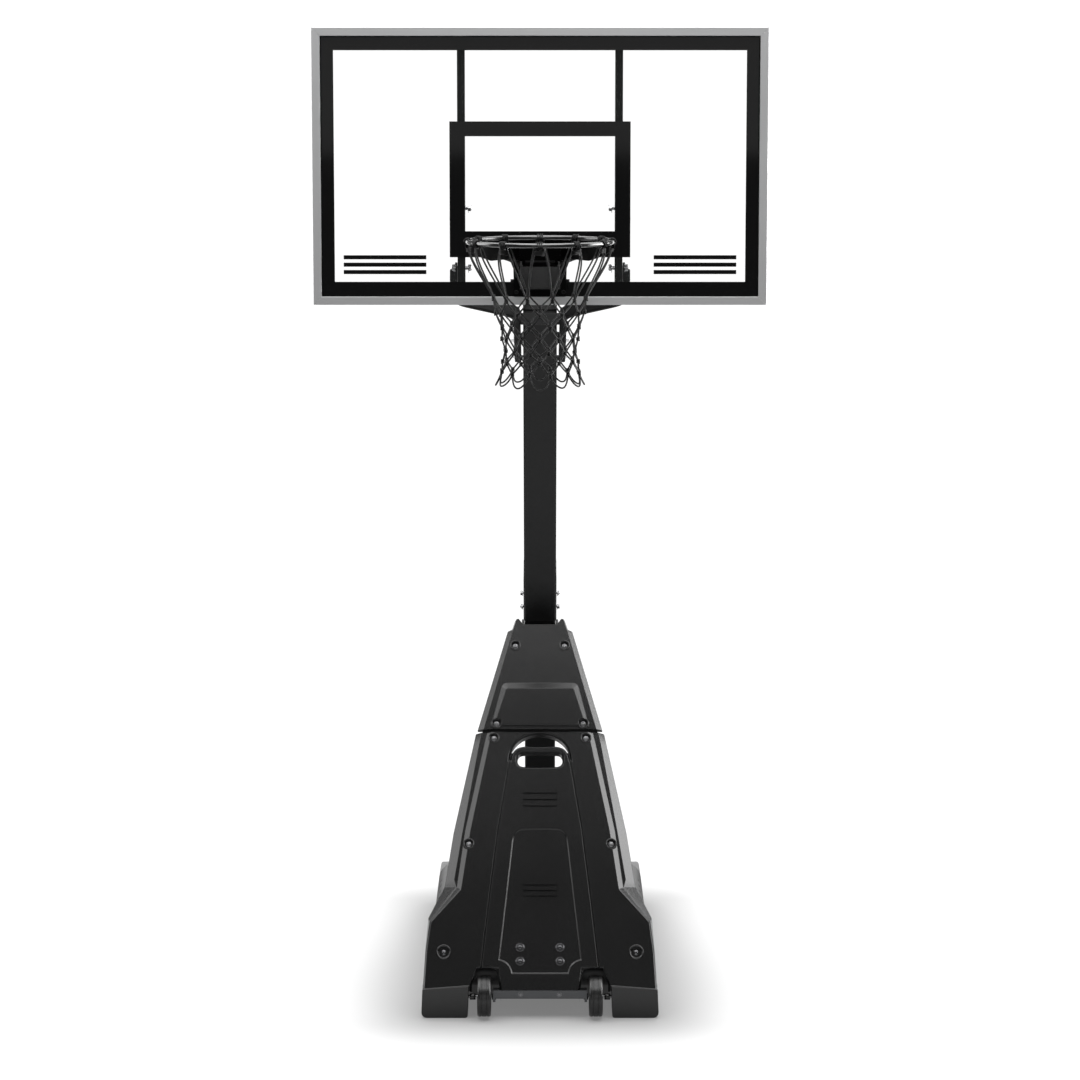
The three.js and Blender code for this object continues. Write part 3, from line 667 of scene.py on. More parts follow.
def tank():
    """The ballast tank: a side outline crossed with a front section, with grooves and a well."""
    profile = rounded([(215, 0), (1735, 0), (1735, 175), (1480, 235), (900, 290), (740, TANK_TOP),
                       (215, TANK_TOP), (62, 140), (62, 100)],
                      [6, 30, 60, 90, 90, 60, 60, 20, 20], 5)
    low = both_sides([(425, 0), (420, 250), (404, 372), (336, TANK_TOP)])
    section = rounded(low, [20, 60, 60, 24, 24, 60, 60, 20], 4)
    hull = Form().strip(slab(profile, (-430, 430))).mesh("tank_shell", TANK_PLASTIC)
    combine(hull, "INTERSECT", [prism("front", section, 0, 1800, in_row)])
    tools = []
    socket = Form().strip([[in_pole(u, v, p) for u, v in rectangle(64.5, 64.5, 9)]
                           for p in (46, 760)]).mesh("socket", TANK_PLASTIC)
    for y in range(300, 700, 90):
        for side in (-1, 1):
            # diagonal grooves down the flanks
            outline = ribbon([(y, 470), (y - 170, 150)], 16)
            x0, x1 = (392, 440) if side > 0 else (-440, -392)
            rib = Form().strip(slab(outline, (x0, x1)))
            tools.append(rib.mesh("rib", TANK_PLASTIC))
    for y in range(980, 1640, 110):
        for xs in ((-330, -95), (95, 330)):
            tools.append(block("groove", xs, (y, y + 34), (228, 330)))
    well = turned([(58, -9), (58, 30)], along((*CAP_SPOT, TANK_TOP), (0, 0, 1)), 40)
    tools.append(Form().strip(well).mesh("well", TANK_PLASTIC))
    cut(hull, socket, *tools)
    soften(hull, 5, 26)
    finish_piece(hull, "root", "base_plastic", "ballast_tank")


def filler_cap():
    """A screw cap with a gripped edge and a bar across its top."""
    cap = Form()
    rings = []
    for radius, height in ((30, -8.6), (44, -8.6), (44, 6), (42, 9), (38, 14.4), (34, 15)):
        ring = []
        for i in range(72):
            grip = 1.6 if i % 3 == 0 and radius > 40 else 0
            turn = math.tau * i / 72
            ring.append(Vector((CAP_SPOT[0] + (radius - grip) * math.cos(turn),
                                CAP_SPOT[1] + (radius - grip) * math.sin(turn),
                                TANK_TOP + height)))
        rings.append(ring)
    cap.strip(rings)
    cap.strip(rings_of_box((-26, 26), (-5, 5), (444, 448.9), CAP_SPOT))
    finish_piece(cap.mesh("tank_cap", MOULDED), "root", "base_plastic", "filler_cap")


def rings_of_box(xs, ys, zs, middle=(0, 0)):
    """Two rings that make a box about middle."""
    return [[Vector((middle[0] + x, middle[1] + y, z)) for x, y in
             ((xs[0], ys[0]), (xs[1], ys[0]), (xs[1], ys[1]), (xs[0], ys[1]))] for z in zs]


# ---------------- wheels
WHEEL_AXIS = (-39, 79)


def wheels():
    tread = [(6.5, -26), (20, -26), (22, -24), (23, -19), (50, -18), (53, -24), (56, -26),
             (70, -26), (74, -23.5), (76, -19), (76, -12), (74.6, -11), (74.6, -8.5), (76, -7.5)]
    profile = tread + [(r, -h) for r, h in reversed(tread)]
    for name, side in (("left", -1), ("right", 1)):
        hub = along((side * 213, *WHEEL_AXIS), (1, 0, 0))
        form = Form().strip(turned(profile, hub, 64), loop=True)
        for k in range(6):
            # spokes between hub and tyre, seen in the dished sides
            turn = math.tau * k / 6
            rib = []
            for out, half in ((21, 5), (52, 3.4)):
                rib.append([hub(out * math.cos(turn) + a * math.sin(turn), b,
                                out * math.sin(turn) - a * math.cos(turn))
                            for a, b in ((-half, -22), (half, -22), (half, 22), (-half, 22))])
            form.strip(rib)
        wheel = form.mesh(f"wheel_{name}_tyre", RUBBER)
        finish_piece(wheel, f"wheel_{name}", "wheel_rubber", f"wheel_{name}")
        start = (side * 292, *WHEEL_AXIS)
        pin = Form().strip(turned([(5.2, 0), (6, 1.5), (6, 122), (5, 123.5)],
                                  along(start, (-side, 0, 0)), 24))
        pin.strip(turned([(8, 46.4), (8, 49.5), (6, 51)], along(start, (-side, 0, 0)), 6))
        finish_piece(pin.mesh(f"wheel_{name}_pin", BRIGHT), "root", "bright_steel",
                     f"wheel_pin_{name}")
        spacer = Form()
        for near, far in ((24, 46), (108, 125)):
            spacer.strip(turned([(6.4, near), (11, near), (12, near + 1.5), (12, far - 1.5),
                                 (11, far), (6.4, far)], along(start, (-side, 0, 0)), 28),
                         loop=True)
        finish_piece(spacer.mesh(f"wheel_{name}_spacers", MOULDED), "root", "base_plastic")
    form = Form()
    for x in (-74, 74):
        hex_bolt(form, (x, -56.2, 92), (0, 1, 0), 10, 4, 7, nut=False)
    finish_piece(form.mesh("beam_bolts", DARK_STEEL), "root", "zinc_steel")


# ---------------- pole
def square_rings(levels):
    """Rounded squares along the pole: (distance up the pole, half width, corner radius)."""
    return [[in_pole(u, v, p) for u, v in rectangle(half, half, radius, 5)]
            for p, half, radius in levels]


def pole():
    low = Form().strip(square_rings([(48, 62, 8), (1812, 62, 8), (1812, 59, 5), (48, 59, 5)]),
                       loop=True)
    finish_piece(low.mesh("lower_tube", POLE_COAT), "root", "black_coat", "pole_lower")
    high = Form().strip(square_rings([
        (1624, 64.6, 9), (1625.5, 65.5, 10), (1828, 65.5, 10), (1862, 63.5, 9), (3084, 63.5, 9),
        (3085, 62.6, 8), (3085, 60.3, 5), (1862, 60.3, 5), (1828, 62.3, 6), (1624, 62.3, 6)]),
        loop=True)
    finish_piece(high.mesh("upper_tube", POLE_COAT), "root", "black_coat", "pole_upper")
    cap = Form().strip(square_rings([(3065, 56, 5), (3065, 59.9, 5), (3084, 59.9, 5),
                                     (3085, 57, 5)]))
    finish_piece(cap.mesh("tube_cap", MOULDED), "root", "base_plastic", "pole_cap")
    for name, side, p in (("lower", 1, 1649), ("upper", -1, 1716.4)):
        form = hex_bolt(Form(), in_pole(side * 70, 0, p), (-side, 0, 0), 140, 6, 11)
        finish_piece(form.mesh(f"splice_bolt_{name}", BRIGHT), "root", "bright_steel",
                     f"pole_bolt_{name}")


# ---------------- lift arms
ARM_HALF_TALL = 22
ARM_BEND = (504, 743)
ARM_DROP = ARM_HALF_TALL            # the bar dips this much between its flare and the board


def arm(place, side, tail):
    """A bent bar of rounded oblong section, with an end plug and an ear at the board end."""
    end = -ARM_LENGTH + 23
    corners = [(85, tail), (85, -ARM_BEND[0]), (294.5, -ARM_BEND[1]), (294.5, end)]
    line = [corners[0]]
    line += rounded([corners[0], corners[1], corners[2]], [0, 70, 0], 10)[1:-1]
    line += rounded([corners[1], corners[2], corners[3]], [0, 70, 0], 10)[1:-1]
    line.append(corners[3])

    def spot(x, y, z):
        dip = ARM_DROP * max(0, (y + ARM_BEND[1]) / (end + ARM_BEND[1]))
        return place(side * x, y, z - dip)

    def ring(i, half_wide, half_tall, radius, shift=0.0):
        here = Vector(line[i])
        a = (here - Vector(line[i - 1])).normalized() if i else None
        b = (Vector(line[i + 1]) - here).normalized() if i + 1 < len(line) else None
        ahead = ((a or b) + (b or a)).normalized()
        across = Vector((-ahead.y, ahead.x))
        here = here + ahead * shift
        return [spot(*(here + across * u), w) for u, w in rectangle(half_wide, half_tall, radius)]

    last = len(line) - 1
    tall = ARM_HALF_TALL
    form = Form().strip([ring(i, 13, tall, 5) for i in range(last + 1)])
    form.strip([ring(0, 10.5, tall - 3, 3, 4), ring(0, 13, tall, 5, -2),
                ring(0, 12, tall - 1, 4, -5)])
    ear = [(end + 50, -40), (end - 12, -40), (end - 37, -12), (end - 41, 2), (end - 35, 14),
           (end - 23, 19), (end - 12, 17), (end, 12), (end + 50, -4)]
    ear = rounded(ear, 9, 3)
    form.strip(slab(ear, [side * x for x in (281.5, 288.5)], place))
    return form


def lift_arms():
    for kind, place, tail in (("lower", in_lower_arm, 372), ("upper", in_upper_arm, 26)):
        for name, side in (("left", -1), ("right", 1)):
            form = arm(place, side, tail)
            spot = along(place(side * 64.2, 0, 0), (side, 0, 0))
            if kind == "lower":
                form.strip(turned([(19, 0), (19, 21)], spot, 40))
            bar = form.mesh(f"{kind}_bar_{name}", ARM_COAT)
            finish_piece(bar, f"{kind}_arms", "black_coat", f"{kind}_arm_{name}")
            bolt = hex_bolt(Form(), place(side * 289.5, -ARM_LENGTH, 0), (-side, 0, 0), 47, 8, 13)
            finish_piece(bolt.mesh(f"board_bolt_{kind}_{name}", BRIGHT), "board",
                         "bright_steel", f"board_pivot_{kind}_{name}")
    for kind, place in (("lower", in_lower_arm), ("upper", in_upper_arm)):
        bolt = hex_bolt(Form(), place(-99, 0, 0), (1, 0, 0), 198, 8, 14, tip=3)
        finish_piece(bolt.mesh(f"pole_pivot_{kind}", BRIGHT), "root", "bright_steel",
                     f"pivot_bolt_{kind}")
    tail_bolt = hex_bolt(Form(), in_lower_arm(-99, 350, 0), (1, 0, 0), 198, 6, 11, tip=3)
    finish_piece(tail_bolt.mesh("tail_bolt", BRIGHT), "lower_arms", "bright_steel", "tail_pin")


# ---------------- board
def window_ring(name, outer, inner, y, thick, material):
    """A flat oblong ring of (half x, low z, high z), thick behind y."""
    def loop(half, low, high, depth):
        return [Vector((x, depth, z)) for x, z in
                ((-half, low), (half, low), (half, high), (-half, high))]
    rings = [loop(*outer, y), loop(*outer, y + thick), loop(*inner, y + thick), loop(*inner, y)]
    return Form().strip(rings, loop=True).mesh(name, material)


PRINT_THICK = 0.25
PRINT_FRONT = GLASS_FRONT - PRINT_THICK - 0.05
CLEAR_HALF, CLEAR_LOW, CLEAR_HIGH = 695, 2882, 3659
TARGET = (305.5, 2965, 3422)
TARGET_HOLE = (255.5, 3053, 3372)
CORNER_BAR_X, CORNER_BAR_HALF, CORNER_BAR_TALL = 525, 140, 14
CORNER_BAR_LOWS = (2908, 2933, 2958)


def prints():
    inner = (BOARD_HALF - FRAME_FACE, BOARD_BOTTOM + FRAME_FACE, BOARD_TOP - FRAME_FACE)
    border = window_ring("border_print", inner, (CLEAR_HALF, CLEAR_LOW, CLEAR_HIGH),
                         PRINT_FRONT, PRINT_THICK, PRINT)
    target = window_ring("target_print", TARGET, TARGET_HOLE, PRINT_FRONT, PRINT_THICK, PRINT)
    # a thin black strip on the glass, along the frame's inner edge, draws the dark line there
    edge_line = window_ring("frame_edge_line", inner, (inner[0] - 4, inner[1] + 4, inner[2] - 4),
                       PRINT_FRONT - 1.6, 1.4, EDGE_LINE_BLACK)
    form = Form()
    for centre in (-CORNER_BAR_X, CORNER_BAR_X):
        left, right = centre - CORNER_BAR_HALF, centre + CORNER_BAR_HALF
        for low in CORNER_BAR_LOWS:
            high = low + CORNER_BAR_TALL
            outline = [(left, low), (right, low), (right, high), (left, high)]
            form.strip([[Vector((x, y, z)) for x, z in outline]
                        for y in (PRINT_FRONT, PRINT_FRONT + PRINT_THICK)])
    marks = form.mesh("corner_prints", PRINT)
    for piece in (border, target, marks):
        finish_piece(piece, "board", "base_plastic")
    finish_piece(edge_line, "board", "base_plastic")
    rivets = Form()
    for side in (-1, 1):
        for z in (BOARD_BOTTOM + 60, 3270, BOARD_TOP - 60):
            rivets.strip(turned([(5, 0.2), (5, -0.6), (3.4, -2.2), (1, -2.6)],
                                along((side * 267, -1027, z), (0, -1, 0)), 20))
    finish_piece(rivets.mesh("stile_rivets", ZINC), "board", "zinc_steel")


# ---------------- rim
BRACE_RADIUS = 242                 # the brace's wall round the rear half of the ring
BRACE_TOP = RING_CENTRE.z - RING_ROD - 0.3
HOOKS = 12


def hook_frame(k):
    """Unit vectors along and out from the ring at hook k; a half falls between two hooks."""
    turn = math.tau * k / HOOKS - math.pi / 2
    return (Vector((-math.sin(turn), math.cos(turn), 0)),
            Vector((math.cos(turn), math.sin(turn), 0)))


def hoop_ring():
    rings = []
    for i in range(128):
        turn = math.tau * i / 128
        out = Vector((math.cos(turn), math.sin(turn), 0))
        rings.append([RING_CENTRE + out * (RING_RADIUS + u) + Vector((0, 0, v))
                      for u, v in circle(RING_ROD, 20)])
    ring = Form().strip(rings, loop=True)
    finish_piece(ring.mesh("hoop_ring", RIM_COAT), "rim", "black_coat", "rim_ring")


def brace_path():
    """The right-hand wall seen from above, from beside the ring to the back plate."""
    path = []
    for i in range(25):
        turn = math.radians(-4 + 52 * i / 24)
        path.append(Vector((BRACE_RADIUS * math.cos(turn),
                            RING_CENTRE.y + BRACE_RADIUS * math.sin(turn))))
    return path + [Vector((72, -1166)), Vector((72, -1140))]


def brace_wall(path, side):
    """Sections of the wall on one side, deeper toward the back plate."""
    sections = []
    for i, point in enumerate(path):
        ahead = (path[min(i + 1, len(path) - 1)] - path[max(i - 1, 0)]).normalized()
        across = Vector((ahead.y, -ahead.x)) * 2.5
        reach = min(max((point.y - RING_CENTRE.y + 20) / 200, 0), 1)
        low = 3021 - 55 * reach ** 1.4
        sections.append([Vector((side * (point.x + across.x * k), point.y + across.y * k, z))
                         for k, z in ((1, BRACE_TOP), (1, low), (-1, low), (-1, BRACE_TOP))])
    return sections


def brace_deck(path):
    """The outline of the flat deck between the two walls, cut away round the ring."""
    back = [(p.x - 2, p.y) for p in path if p.y > RING_CENTRE.y + 110]
    radius = RING_RADIUS + 1
    start = math.degrees(math.asin((back[0][1] - RING_CENTRE.y) / radius))
    mouth = []
    for i in range(31):
        turn = math.radians(180 - start - (180 - 2 * start) * i / 30)
        mouth.append((radius * math.cos(turn), RING_CENTRE.y + radius * math.sin(turn)))
    return back + [(-x, y) for x, y in reversed(back)] + mouth[1:-1]


def ring_brace():
    """The brace under the ring: two walls, a deck, two hinge lugs and a stiffening bar."""
    path = brace_path()
    brace = Form()
    for side in (-1, 1):
        brace.strip(brace_wall(path, side))
    outline = brace_deck(path)
    brace.strip([[Vector((x, y, z)) for x, y in outline] for z in (BRACE_TOP - 5, BRACE_TOP)])
    lug = rounded([(-1190, 2975), (-1177, 2944), (-1153, 2944), (-1140, 2975)], [2, 11, 11, 2], 5)
    tab = [(-1176, 2968), (-1145, 2968), (-1145, 2976), (-1176, 2976)]
    for side in (-1, 1):
        for shape, xs in ((lug, (50.5, 59)), (tab, (50, 74))):
            brace.strip(slab(shape, [side * x for x in xs]))
    brace.strip(rings_of_box((-66, 66), (-1181, -1176), (2968, 3026)))
    finish_piece(brace.mesh("ring_brace", ARM_COAT), "rim", "black_coat", "rim_brace")


def net_hooks():
    """Two small wire loops under the rod for each hook."""
    hooks = Form()
    for k in range(HOOKS):
        side, out = hook_frame(k)
        middle = RING_CENTRE + out * (RING_RADIUS - 3)
        for shift in (-9, 9):
            points = [middle + side * (shift + 6 * math.cos(math.radians(a)))
                      + Vector((0, 0, -RING_ROD - 6 + 9 * math.sin(math.radians(a))))
                      for a in range(60, -241, -20)]
            hooks.strip(tube_rings(points, 1.7, 8))
    finish_piece(hooks.mesh("net_hooks", RIM_COAT), "rim", "black_coat")


def rim_mount():
    """The hinge bolt, and the bar, pads and bolts on the plate behind the ring."""
    pin = hex_bolt(Form(), (-71, *RIM_PIVOT), (1, 0, 0), 142, 6, 9, tip=2)
    finish_piece(pin.mesh("hinge_bolt", COAT), "board", "bright_steel", "rim_hinge_pin")
    trim = Form()
    trim.strip(rings_of_box((-69, 69), (-1204, -1199), (2862, 2866)))
    for side in (-1, 1):
        trim.strip(rings_of_box((-6, 6), (-1110, -1103), (2879, 2891), (side * 94, 0)))
        for z in (2848, 2905, 2995):
            hex_bolt(trim, (side * 80, -1111.4, z), (0, 1, 0), 3, 4, 6.5, nut=False)
    finish_piece(trim.mesh("rim_mount_trim", COAT), "board", "black_coat")


def rim():
    hoop_ring()
    ring_brace()
    net_hooks()
    rim_mount()


# ---------------- net
CORD_RADIUS = 2.9
NET_ROWS = [(2856, 156), (2809, 146), (2764, 130), (2724, 126), (2681, 117), (2649, 125),
            (2612, 130)]           # z and radius of each row of knots, from the top
NET_HEM = (2567, 146)              # the same for the lowest loops
DOWN = Vector((0, 0, -1))


def row_shift(row):
    """Even rows of knots sit between the hooks, odd rows below them."""
    return 0.5 if row % 2 == 0 else 0.0


def knot_places(dice):
    """A function that gives the place of knot k of a row, each a little out of line."""
    loose = [[(dice.uniform(-2.5, 2.5), dice.uniform(-4, 4)) for _ in range(HOOKS)]
             for _ in range(len(NET_ROWS))]

    def knot(row, k):
        z, radius = NET_ROWS[row]
        turn = math.tau * (k + row_shift(row)) / HOOKS - math.pi / 2
        radius += loose[row][k % HOOKS][0]
        return Vector((radius * math.cos(turn), RING_CENTRE.y + radius * math.sin(turn),
                       z + loose[row][k % HOOKS][1]))

    return knot


def strand(form, a, b, way_a, way_b, steps):
    form.strip(tube_rings(curve(a, way_a, b, way_b, steps), CORD_RADIUS, 7))


def coil(centre, side, out, reach, heights, per_turn):
    """Points that wind round centre: reach is sideways and outward, heights run down."""
    return [centre + side * (reach[0] * math.cos(math.tau * i / per_turn))
            + out * (reach[1] * math.sin(math.tau * i / per_turn)) + DOWN * height
            for i, height in enumerate(heights)]


def rod_turn(side, out, shift, dice):
    """One turn of cord round the ring's rod, kept behind the front of the ring."""
    turns = []
    for i in range(14):
        turn = math.tau * i / 13
        reach = RING_ROD + CORD_RADIUS
        point = (RING_CENTRE + out * (RING_RADIUS + reach * math.cos(turn))
                 + Vector((0, 0, reach * math.sin(turn)))
                 + side * (shift + 5 * i / 13 + dice.uniform(-0.4, 0.4)))
        point.y = max(point.y, ring_low.y / MM + CORD_RADIUS)
        turns.append(point)
    return turns


def hang_on_hook(form, knot, k, dice):
    """Two cords down from hook k, their bights over it, turns round the rod and a wrap."""
    side, out = hook_frame(k)
    top = RING_CENTRE + out * (RING_RADIUS - 3) + DOWN * (RING_ROD + 7)
    for way in (-1, 1):
        start = top + side * way * 13
        target = knot(0, k if way > 0 else k - 1)
        pull = (target - start).length
        strand(form, start, target, side * way * pull * 0.32 + DOWN * pull * 0.75,
               (target - start).normalized() * pull * 0.95, 16)
        bight = [start, start + Vector((0, 0, 4)) - side * way * 2,
                 top + side * way * 3 + Vector((0, 0, 7)),
                 top + side * way * -3 + Vector((0, 0, 1))]
        form.strip(tube_rings(bight, CORD_RADIUS, 7))
    for shift in (-9, -2, 5):
        form.strip(tube_rings(rod_turn(side, out, shift, dice), CORD_RADIUS * 0.85, 6))
    wrap = coil(top, side, out, (15, 6), [2 + 14 * i / 32 for i in range(33)], 10)
    form.strip(tube_rings(wrap, CORD_RADIUS * 0.9, 6))


def weave(form, knot, dice):
    """Bowed strands from each knot to its two neighbours in the row below."""
    for row in range(len(NET_ROWS) - 1):
        for k in range(HOOKS):
            here = knot(row, k)
            for step in (0, 1):
                there = knot(row + 1, k + step - row % 2)
                span = there - here
                bow = DOWN * span.length * 0.22
                strand(form, here, there, span * 0.85 + bow, span * 0.85 + bow * -0.2
                       + Vector((0, 0, dice.uniform(-5, 5))), 8)


def hem(form, knot, dice):
    """The last loops, which hang between neighbouring knots of the last row."""
    last = len(NET_ROWS) - 1
    for k in range(HOOKS):
        side, out = hook_frame(k)
        low = out * NET_HEM[1] + Vector((0, RING_CENTRE.y, NET_HEM[0] + dice.uniform(-1, 6)))
        left, right = knot(last, k - 1), knot(last, k)
        drop = left.z - low.z
        leave = (DOWN + out * 0.3 + side * 0.25) * drop * 1.7
        across = side * drop * 1.1
        arrive = (DOWN * -1 - out * 0.3 + side * 0.25) * drop * 1.7
        points = curve(left, leave, low, across, 10) + curve(low, across, right, arrive, 10)[1:]
        form.strip(tube_rings(points, CORD_RADIUS, 7))


def tie_knots(form, knot):
    """A short coil of cord at each knot."""
    for row in range(len(NET_ROWS)):
        for k in range(HOOKS):
            side, out = hook_frame(k + row_shift(row))
            drops = [i / 21 * 12 - 6 for i in range(22)]
            turns = coil(knot(row, k), side, out, (4.4, 4.4), drops, 9)
            form.strip(tube_rings(turns, CORD_RADIUS * 0.95, 6))


def net():
    dice = random.Random(11)
    knot = knot_places(dice)
    form = Form()
    for k in range(HOOKS):
        hang_on_hook(form, knot, k, dice)
    weave(form, knot, dice)
    hem(form, knot, dice)
    tie_knots(form, knot)
    finish_piece(form.mesh("net_weave", CORD), "rim", "net_cord", "net")


# ---------------- jack
JACK_PROFILE = ((12.4, 330), (12.4, 599), (14, 600), (20, 600), (22, 597), (22, 570), (23.5, 568),
                (23.5, 540), (22, 538), (22, -56), (12.4, -56))
CRANK_AXIS = -246                  # along the jack, below its pivot


def jack():
    tube = Form().strip([[in_jack(u, v, w) for u, v in circle(radius, 40)]
                         for radius, w in JACK_PROFILE], loop=True)
    gear_box = rounded([(-15, -120), (30, -120), (30, -55), (-15, -55)], 8, 4)
    tube.strip(slab(gear_box, (-23, 23), in_jack))
    tube.strip(slab(circle(23, 32), (-22.8, 22.8), in_jack))
    finish_piece(tube.mesh("jack_body", COAT), "jack_tube", "black_coat", "jack_tube")
    pivot = hex_bolt(Form(), in_jack(-32.5, 0, 0), (1, 0, 0), 65, 8, 13, tip=4)
    finish_piece(pivot.mesh("jack_bolt", BRIGHT), "root", "bright_steel", "jack_pivot_bolt")

    profile = [(6.3, 84)]
    for i in range(25):
        ridge = 1.2 if i % 3 == 0 else 0
        profile.append((13 + 3 * math.sin(math.pi * i / 24) - ridge, 84 + 84 * i / 24))
    profile.append((6.3, 168))
    grip = Form().strip([[in_jack(u, y, CRANK_AXIS + v) for u, v in circle(radius, 32)]
                         for radius, y in profile], loop=True)
    finish_piece(grip.mesh("crank_handle", GRIP), "crank", "grip_plastic", "crank_grip")


# ---------------- CAD nodes that stay
KEPT = {
    "frame_top": (FRAME_X, 1.2), "frame_bottom": (FRAME_X, 1.2),
    "frame_left": (FRAME_Z, 1.2), "frame_right": (FRAME_Z, 1.2),
    "glass_panel": (GLASS, 0), "stile_left": (ARM_COAT, 2.2), "stile_right": (ARM_COAT, 2.2),
    "cross_tube": (ARM_COAT, 2.2), "rim_back_plate": (ARM_COAT, 1.5),
    "spring_box": (RIM_COAT, 1.8), "head_bracket": (ARM_COAT, 1.6),
    "arm_cross_plate": (PLATE_COAT, 1.5), "apex_bracket": (COAT, 1.2),
    "front_strut_left": (COAT, 2.2), "front_strut_right": (COAT, 2.2),
    "axle_beam": (BEAM_STEEL, 1.6),
    "jack_bracket": (COAT, 1.5), "jack_rod": (ZINC, 0.8), "crank": (ZINC, 1),
}


def dress_kept():
    """Better material and softly rounded edges on the CAD nodes that stay."""
    for name, (material, edge) in KEPT.items():
        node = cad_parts[name]
        if not node.data.materials:
            node.data.materials.append(material)
        for place in node.material_slots:
            place.material = material
        if edge:
            node.modifiers.new("weld", "WELD").merge_threshold = 1e-5
            add_bevel(node, edge, 2, 40).harden_normals = True


# ---------------- studio
def panel_light(name, place, target, size, radiance, diffuse):
    light = bpy.data.lights.new(name, "AREA")
    light.shape = "RECTANGLE"
    light.size, light.size_y = size
    light.energy = math.pi * radiance * size[0] * size[1]
    lamp = bpy.data.objects.new(name, light)
    lamp.location = place
    lamp.rotation_euler = (Vector(target) - Vector(place)).to_track_quat("-Z", "Y").to_euler()
    lamp.visible_camera = False
    lamp.visible_diffuse = diffuse
    bpy.context.scene.collection.objects.link(lamp)


FLOOR_RADIUS = 3.4                 # metres; the floor fades into the backdrop before its edge
# the box round which the floor's painted contact shadow lies, in metres
SHADOW_FOOTPRINT_CENTRE = (0, 0.83, 0)
SHADOW_FOOTPRINT_HALF = (0.4, 0.9, 10)


def pale_floor():
    """A pale matt floor that fades out by its alpha, with a painted contact shadow round the base.
    """
    made = Surface("pale_floor", {"Roughness": 0.75, "Specular IOR Level": 0.1,
                                  "Emission Color": (1, 1, 1, 1), "Emission Strength": 0.18})
    length = made.node("ShaderNodeVectorMath", operation="LENGTH")
    fade = made.node("ShaderNodeMapRange", interpolation_type="SMOOTHSTEP",
                     **{"From Min": FLOOR_RADIUS * 0.5, "From Max": FLOOR_RADIUS * 0.97,
                        "To Min": 1.0, "To Max": 0.0})
    made.wire(made.place, "Object", length, 0)
    made.wire(length, "Value", fade, "Value")
    made.wire(fade, "Result", made.shader, "Alpha")
    # painted contact shadow: darker where the base stands close over the floor
    steps = [("SUBTRACT", SHADOW_FOOTPRINT_CENTRE), ("ABSOLUTE", None), ("SUBTRACT", SHADOW_FOOTPRINT_HALF),
             ("MAXIMUM", (0, 0, 0))]
    last, socket = made.place, "Object"
    for operation, amount in steps:
        step = made.node("ShaderNodeVectorMath", operation=operation)
        if amount:
            step.inputs[1].default_value = amount
        made.wire(last, socket, step, 0)
        last, socket = step, 0
    gap = made.node("ShaderNodeVectorMath", operation="LENGTH")
    painted_shadow = made.node("ShaderNodeValToRGB")
    painted_shadow.color_ramp.interpolation = "EASE"
    near, far = painted_shadow.color_ramp.elements
    near.color = (0.33, 0.33, 0.33, 1)
    far.color = (0.7, 0.7, 0.7, 1)
    far.position = 0.42
    made.wire(last, socket, gap, 0)
    made.wire(gap, "Value", painted_shadow, "Fac")
    made.wire(painted_shadow, "Color", made.shader, "Base Color")
    return made.material


# name, place, what it points at, width and height, radiance, whether it lights matt surfaces
PANELS = (
    ("side_right", (4.6, 0.2, 2.7), (0, 0, 1.6), (4.4, 3.0), 8.0, False),
    ("side_left", (-4.6, 0.2, 2.7), (0, 0, 1.6), (4.4, 3.0), 3.2, False),
    ("front", (0, -15, 4.6), (0, -1, 3.0), (7, 3.5), 1.5, True),
    ("front_top", (0, -3.2, 6.6), (0, 0.6, 1.3), (4, 2.1), 2.9, False),
    ("shoulder_right", (3.4, 0.2, 5.0), (0, 0, 0.8), (3, 1.5), 5.0, False),
    ("shoulder_left", (-3.4, 0.2, 5.0), (0, 0, 0.8), (3, 1.5), 3.6, False),
    ("back", (0, 7, 2.2), (0, 0, 1.6), (9, 4.4), 1.5, False),
)
SUN_ANGLE, SUN_TILT = 84, -14      # degrees
CAMERA_PLACE = (0, -12.61, 3.678)
CAMERA_PITCH = 8.31                # degrees down from level
CAMERA_LENS = 113.07


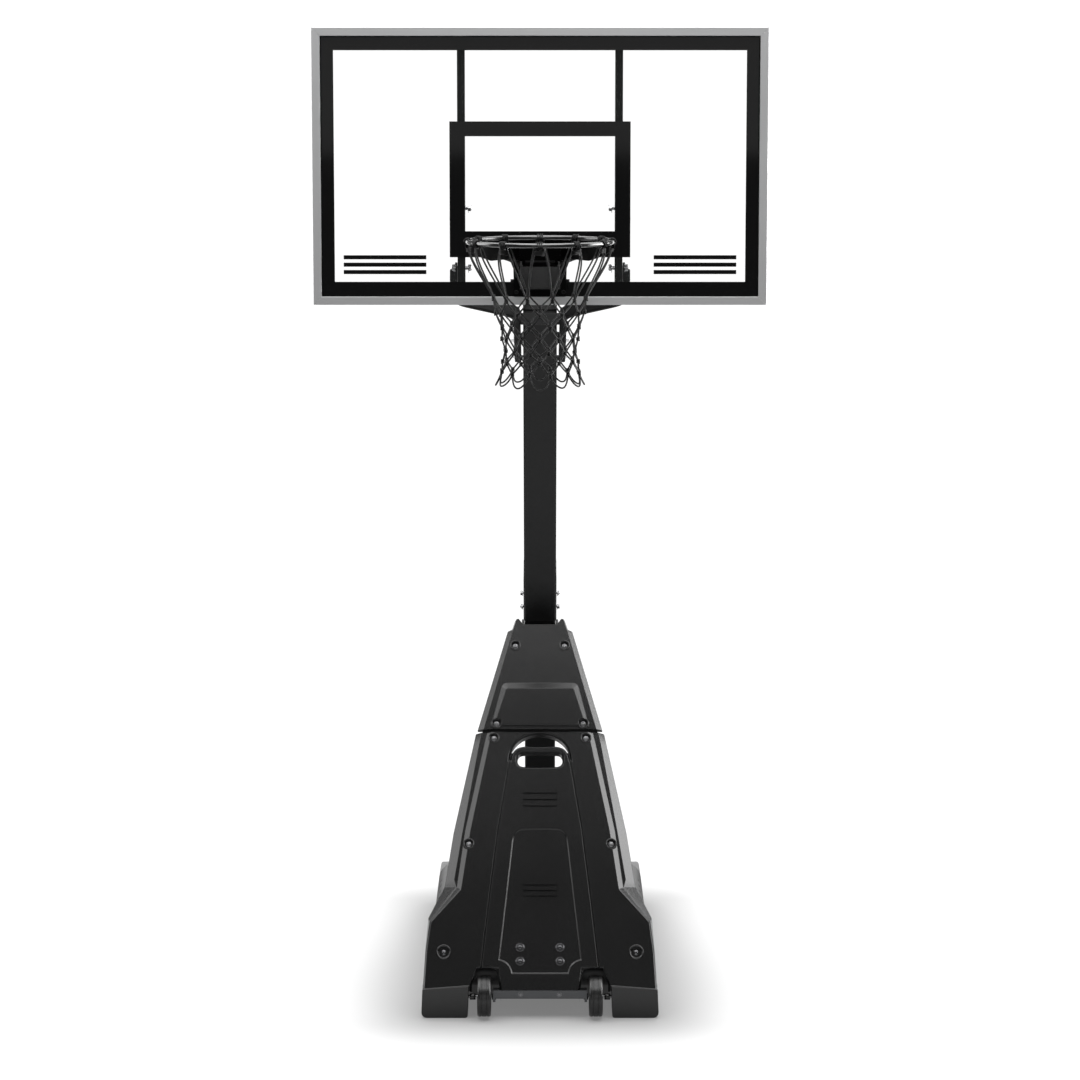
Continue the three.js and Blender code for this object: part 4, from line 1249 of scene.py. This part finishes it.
def backdrop(scene):
    """White where the camera sees past the object, and a faint light from everywhere."""
    world = bpy.data.worlds.new("studio")
    scene.world = world
    world.use_nodes = True
    tree = world.node_tree
    ambient = tree.nodes["Background"]
    ambient.inputs["Color"].default_value = (1, 1, 1, 1)
    ambient.inputs["Strength"].default_value = 0.09
    white = tree.nodes.new("ShaderNodeBackground")
    white.inputs["Color"].default_value = (1, 1, 1, 1)
    white.inputs["Strength"].default_value = 1.1
    ray = tree.nodes.new("ShaderNodeLightPath")
    mix = tree.nodes.new("ShaderNodeMixShader")
    tree.links.new(ray.outputs["Is Camera Ray"], mix.inputs[0])
    tree.links.new(ambient.outputs[0], mix.inputs[1])
    tree.links.new(white.outputs[0], mix.inputs[2])
    tree.links.new(mix.outputs[0], tree.nodes["World Output"].inputs["Surface"])


def lay_floor(scene):
    data = bpy.data.meshes.new("floor")
    edge = [(x, y, 0) for x, y in circle(FLOOR_RADIUS, 96)]
    data.from_pydata(edge, [], [tuple(range(96))])
    floor = bpy.data.objects.new("floor", data)
    scene.collection.objects.link(floor)
    data.materials.append(pale_floor())


def lights(scene):
    """A wide soft sun overhead and the panels."""
    sun = bpy.data.lights.new("overhead", "SUN")
    sun.energy = 4.0
    sun.angle = math.radians(SUN_ANGLE)
    lamp = bpy.data.objects.new("overhead", sun)
    lamp.rotation_euler = (math.radians(SUN_TILT), 0, 0)
    scene.collection.objects.link(lamp)
    for panel in PANELS:
        panel_light(*panel)


def camera(scene):
    lens = bpy.data.cameras.new("camera")
    lens.lens = CAMERA_LENS
    lens.sensor_width = 36
    lens.clip_end = 400
    eye = bpy.data.objects.new("camera", lens)
    eye.location = CAMERA_PLACE
    eye.rotation_euler = (math.radians(90 - CAMERA_PITCH), 0, 0)
    scene.collection.objects.link(eye)
    scene.camera = eye


def studio():
    scene = bpy.context.scene
    scene.view_settings.view_transform = "Standard"
    backdrop(scene)
    lay_floor(scene)
    lights(scene)
    camera(scene)


studio()
lower_cover()
upper_cover()
cover_bolts()
tank()
filler_cap()
wheels()
pole()
lift_arms()
prints()
rim()
net()
jack()
dress_kept()
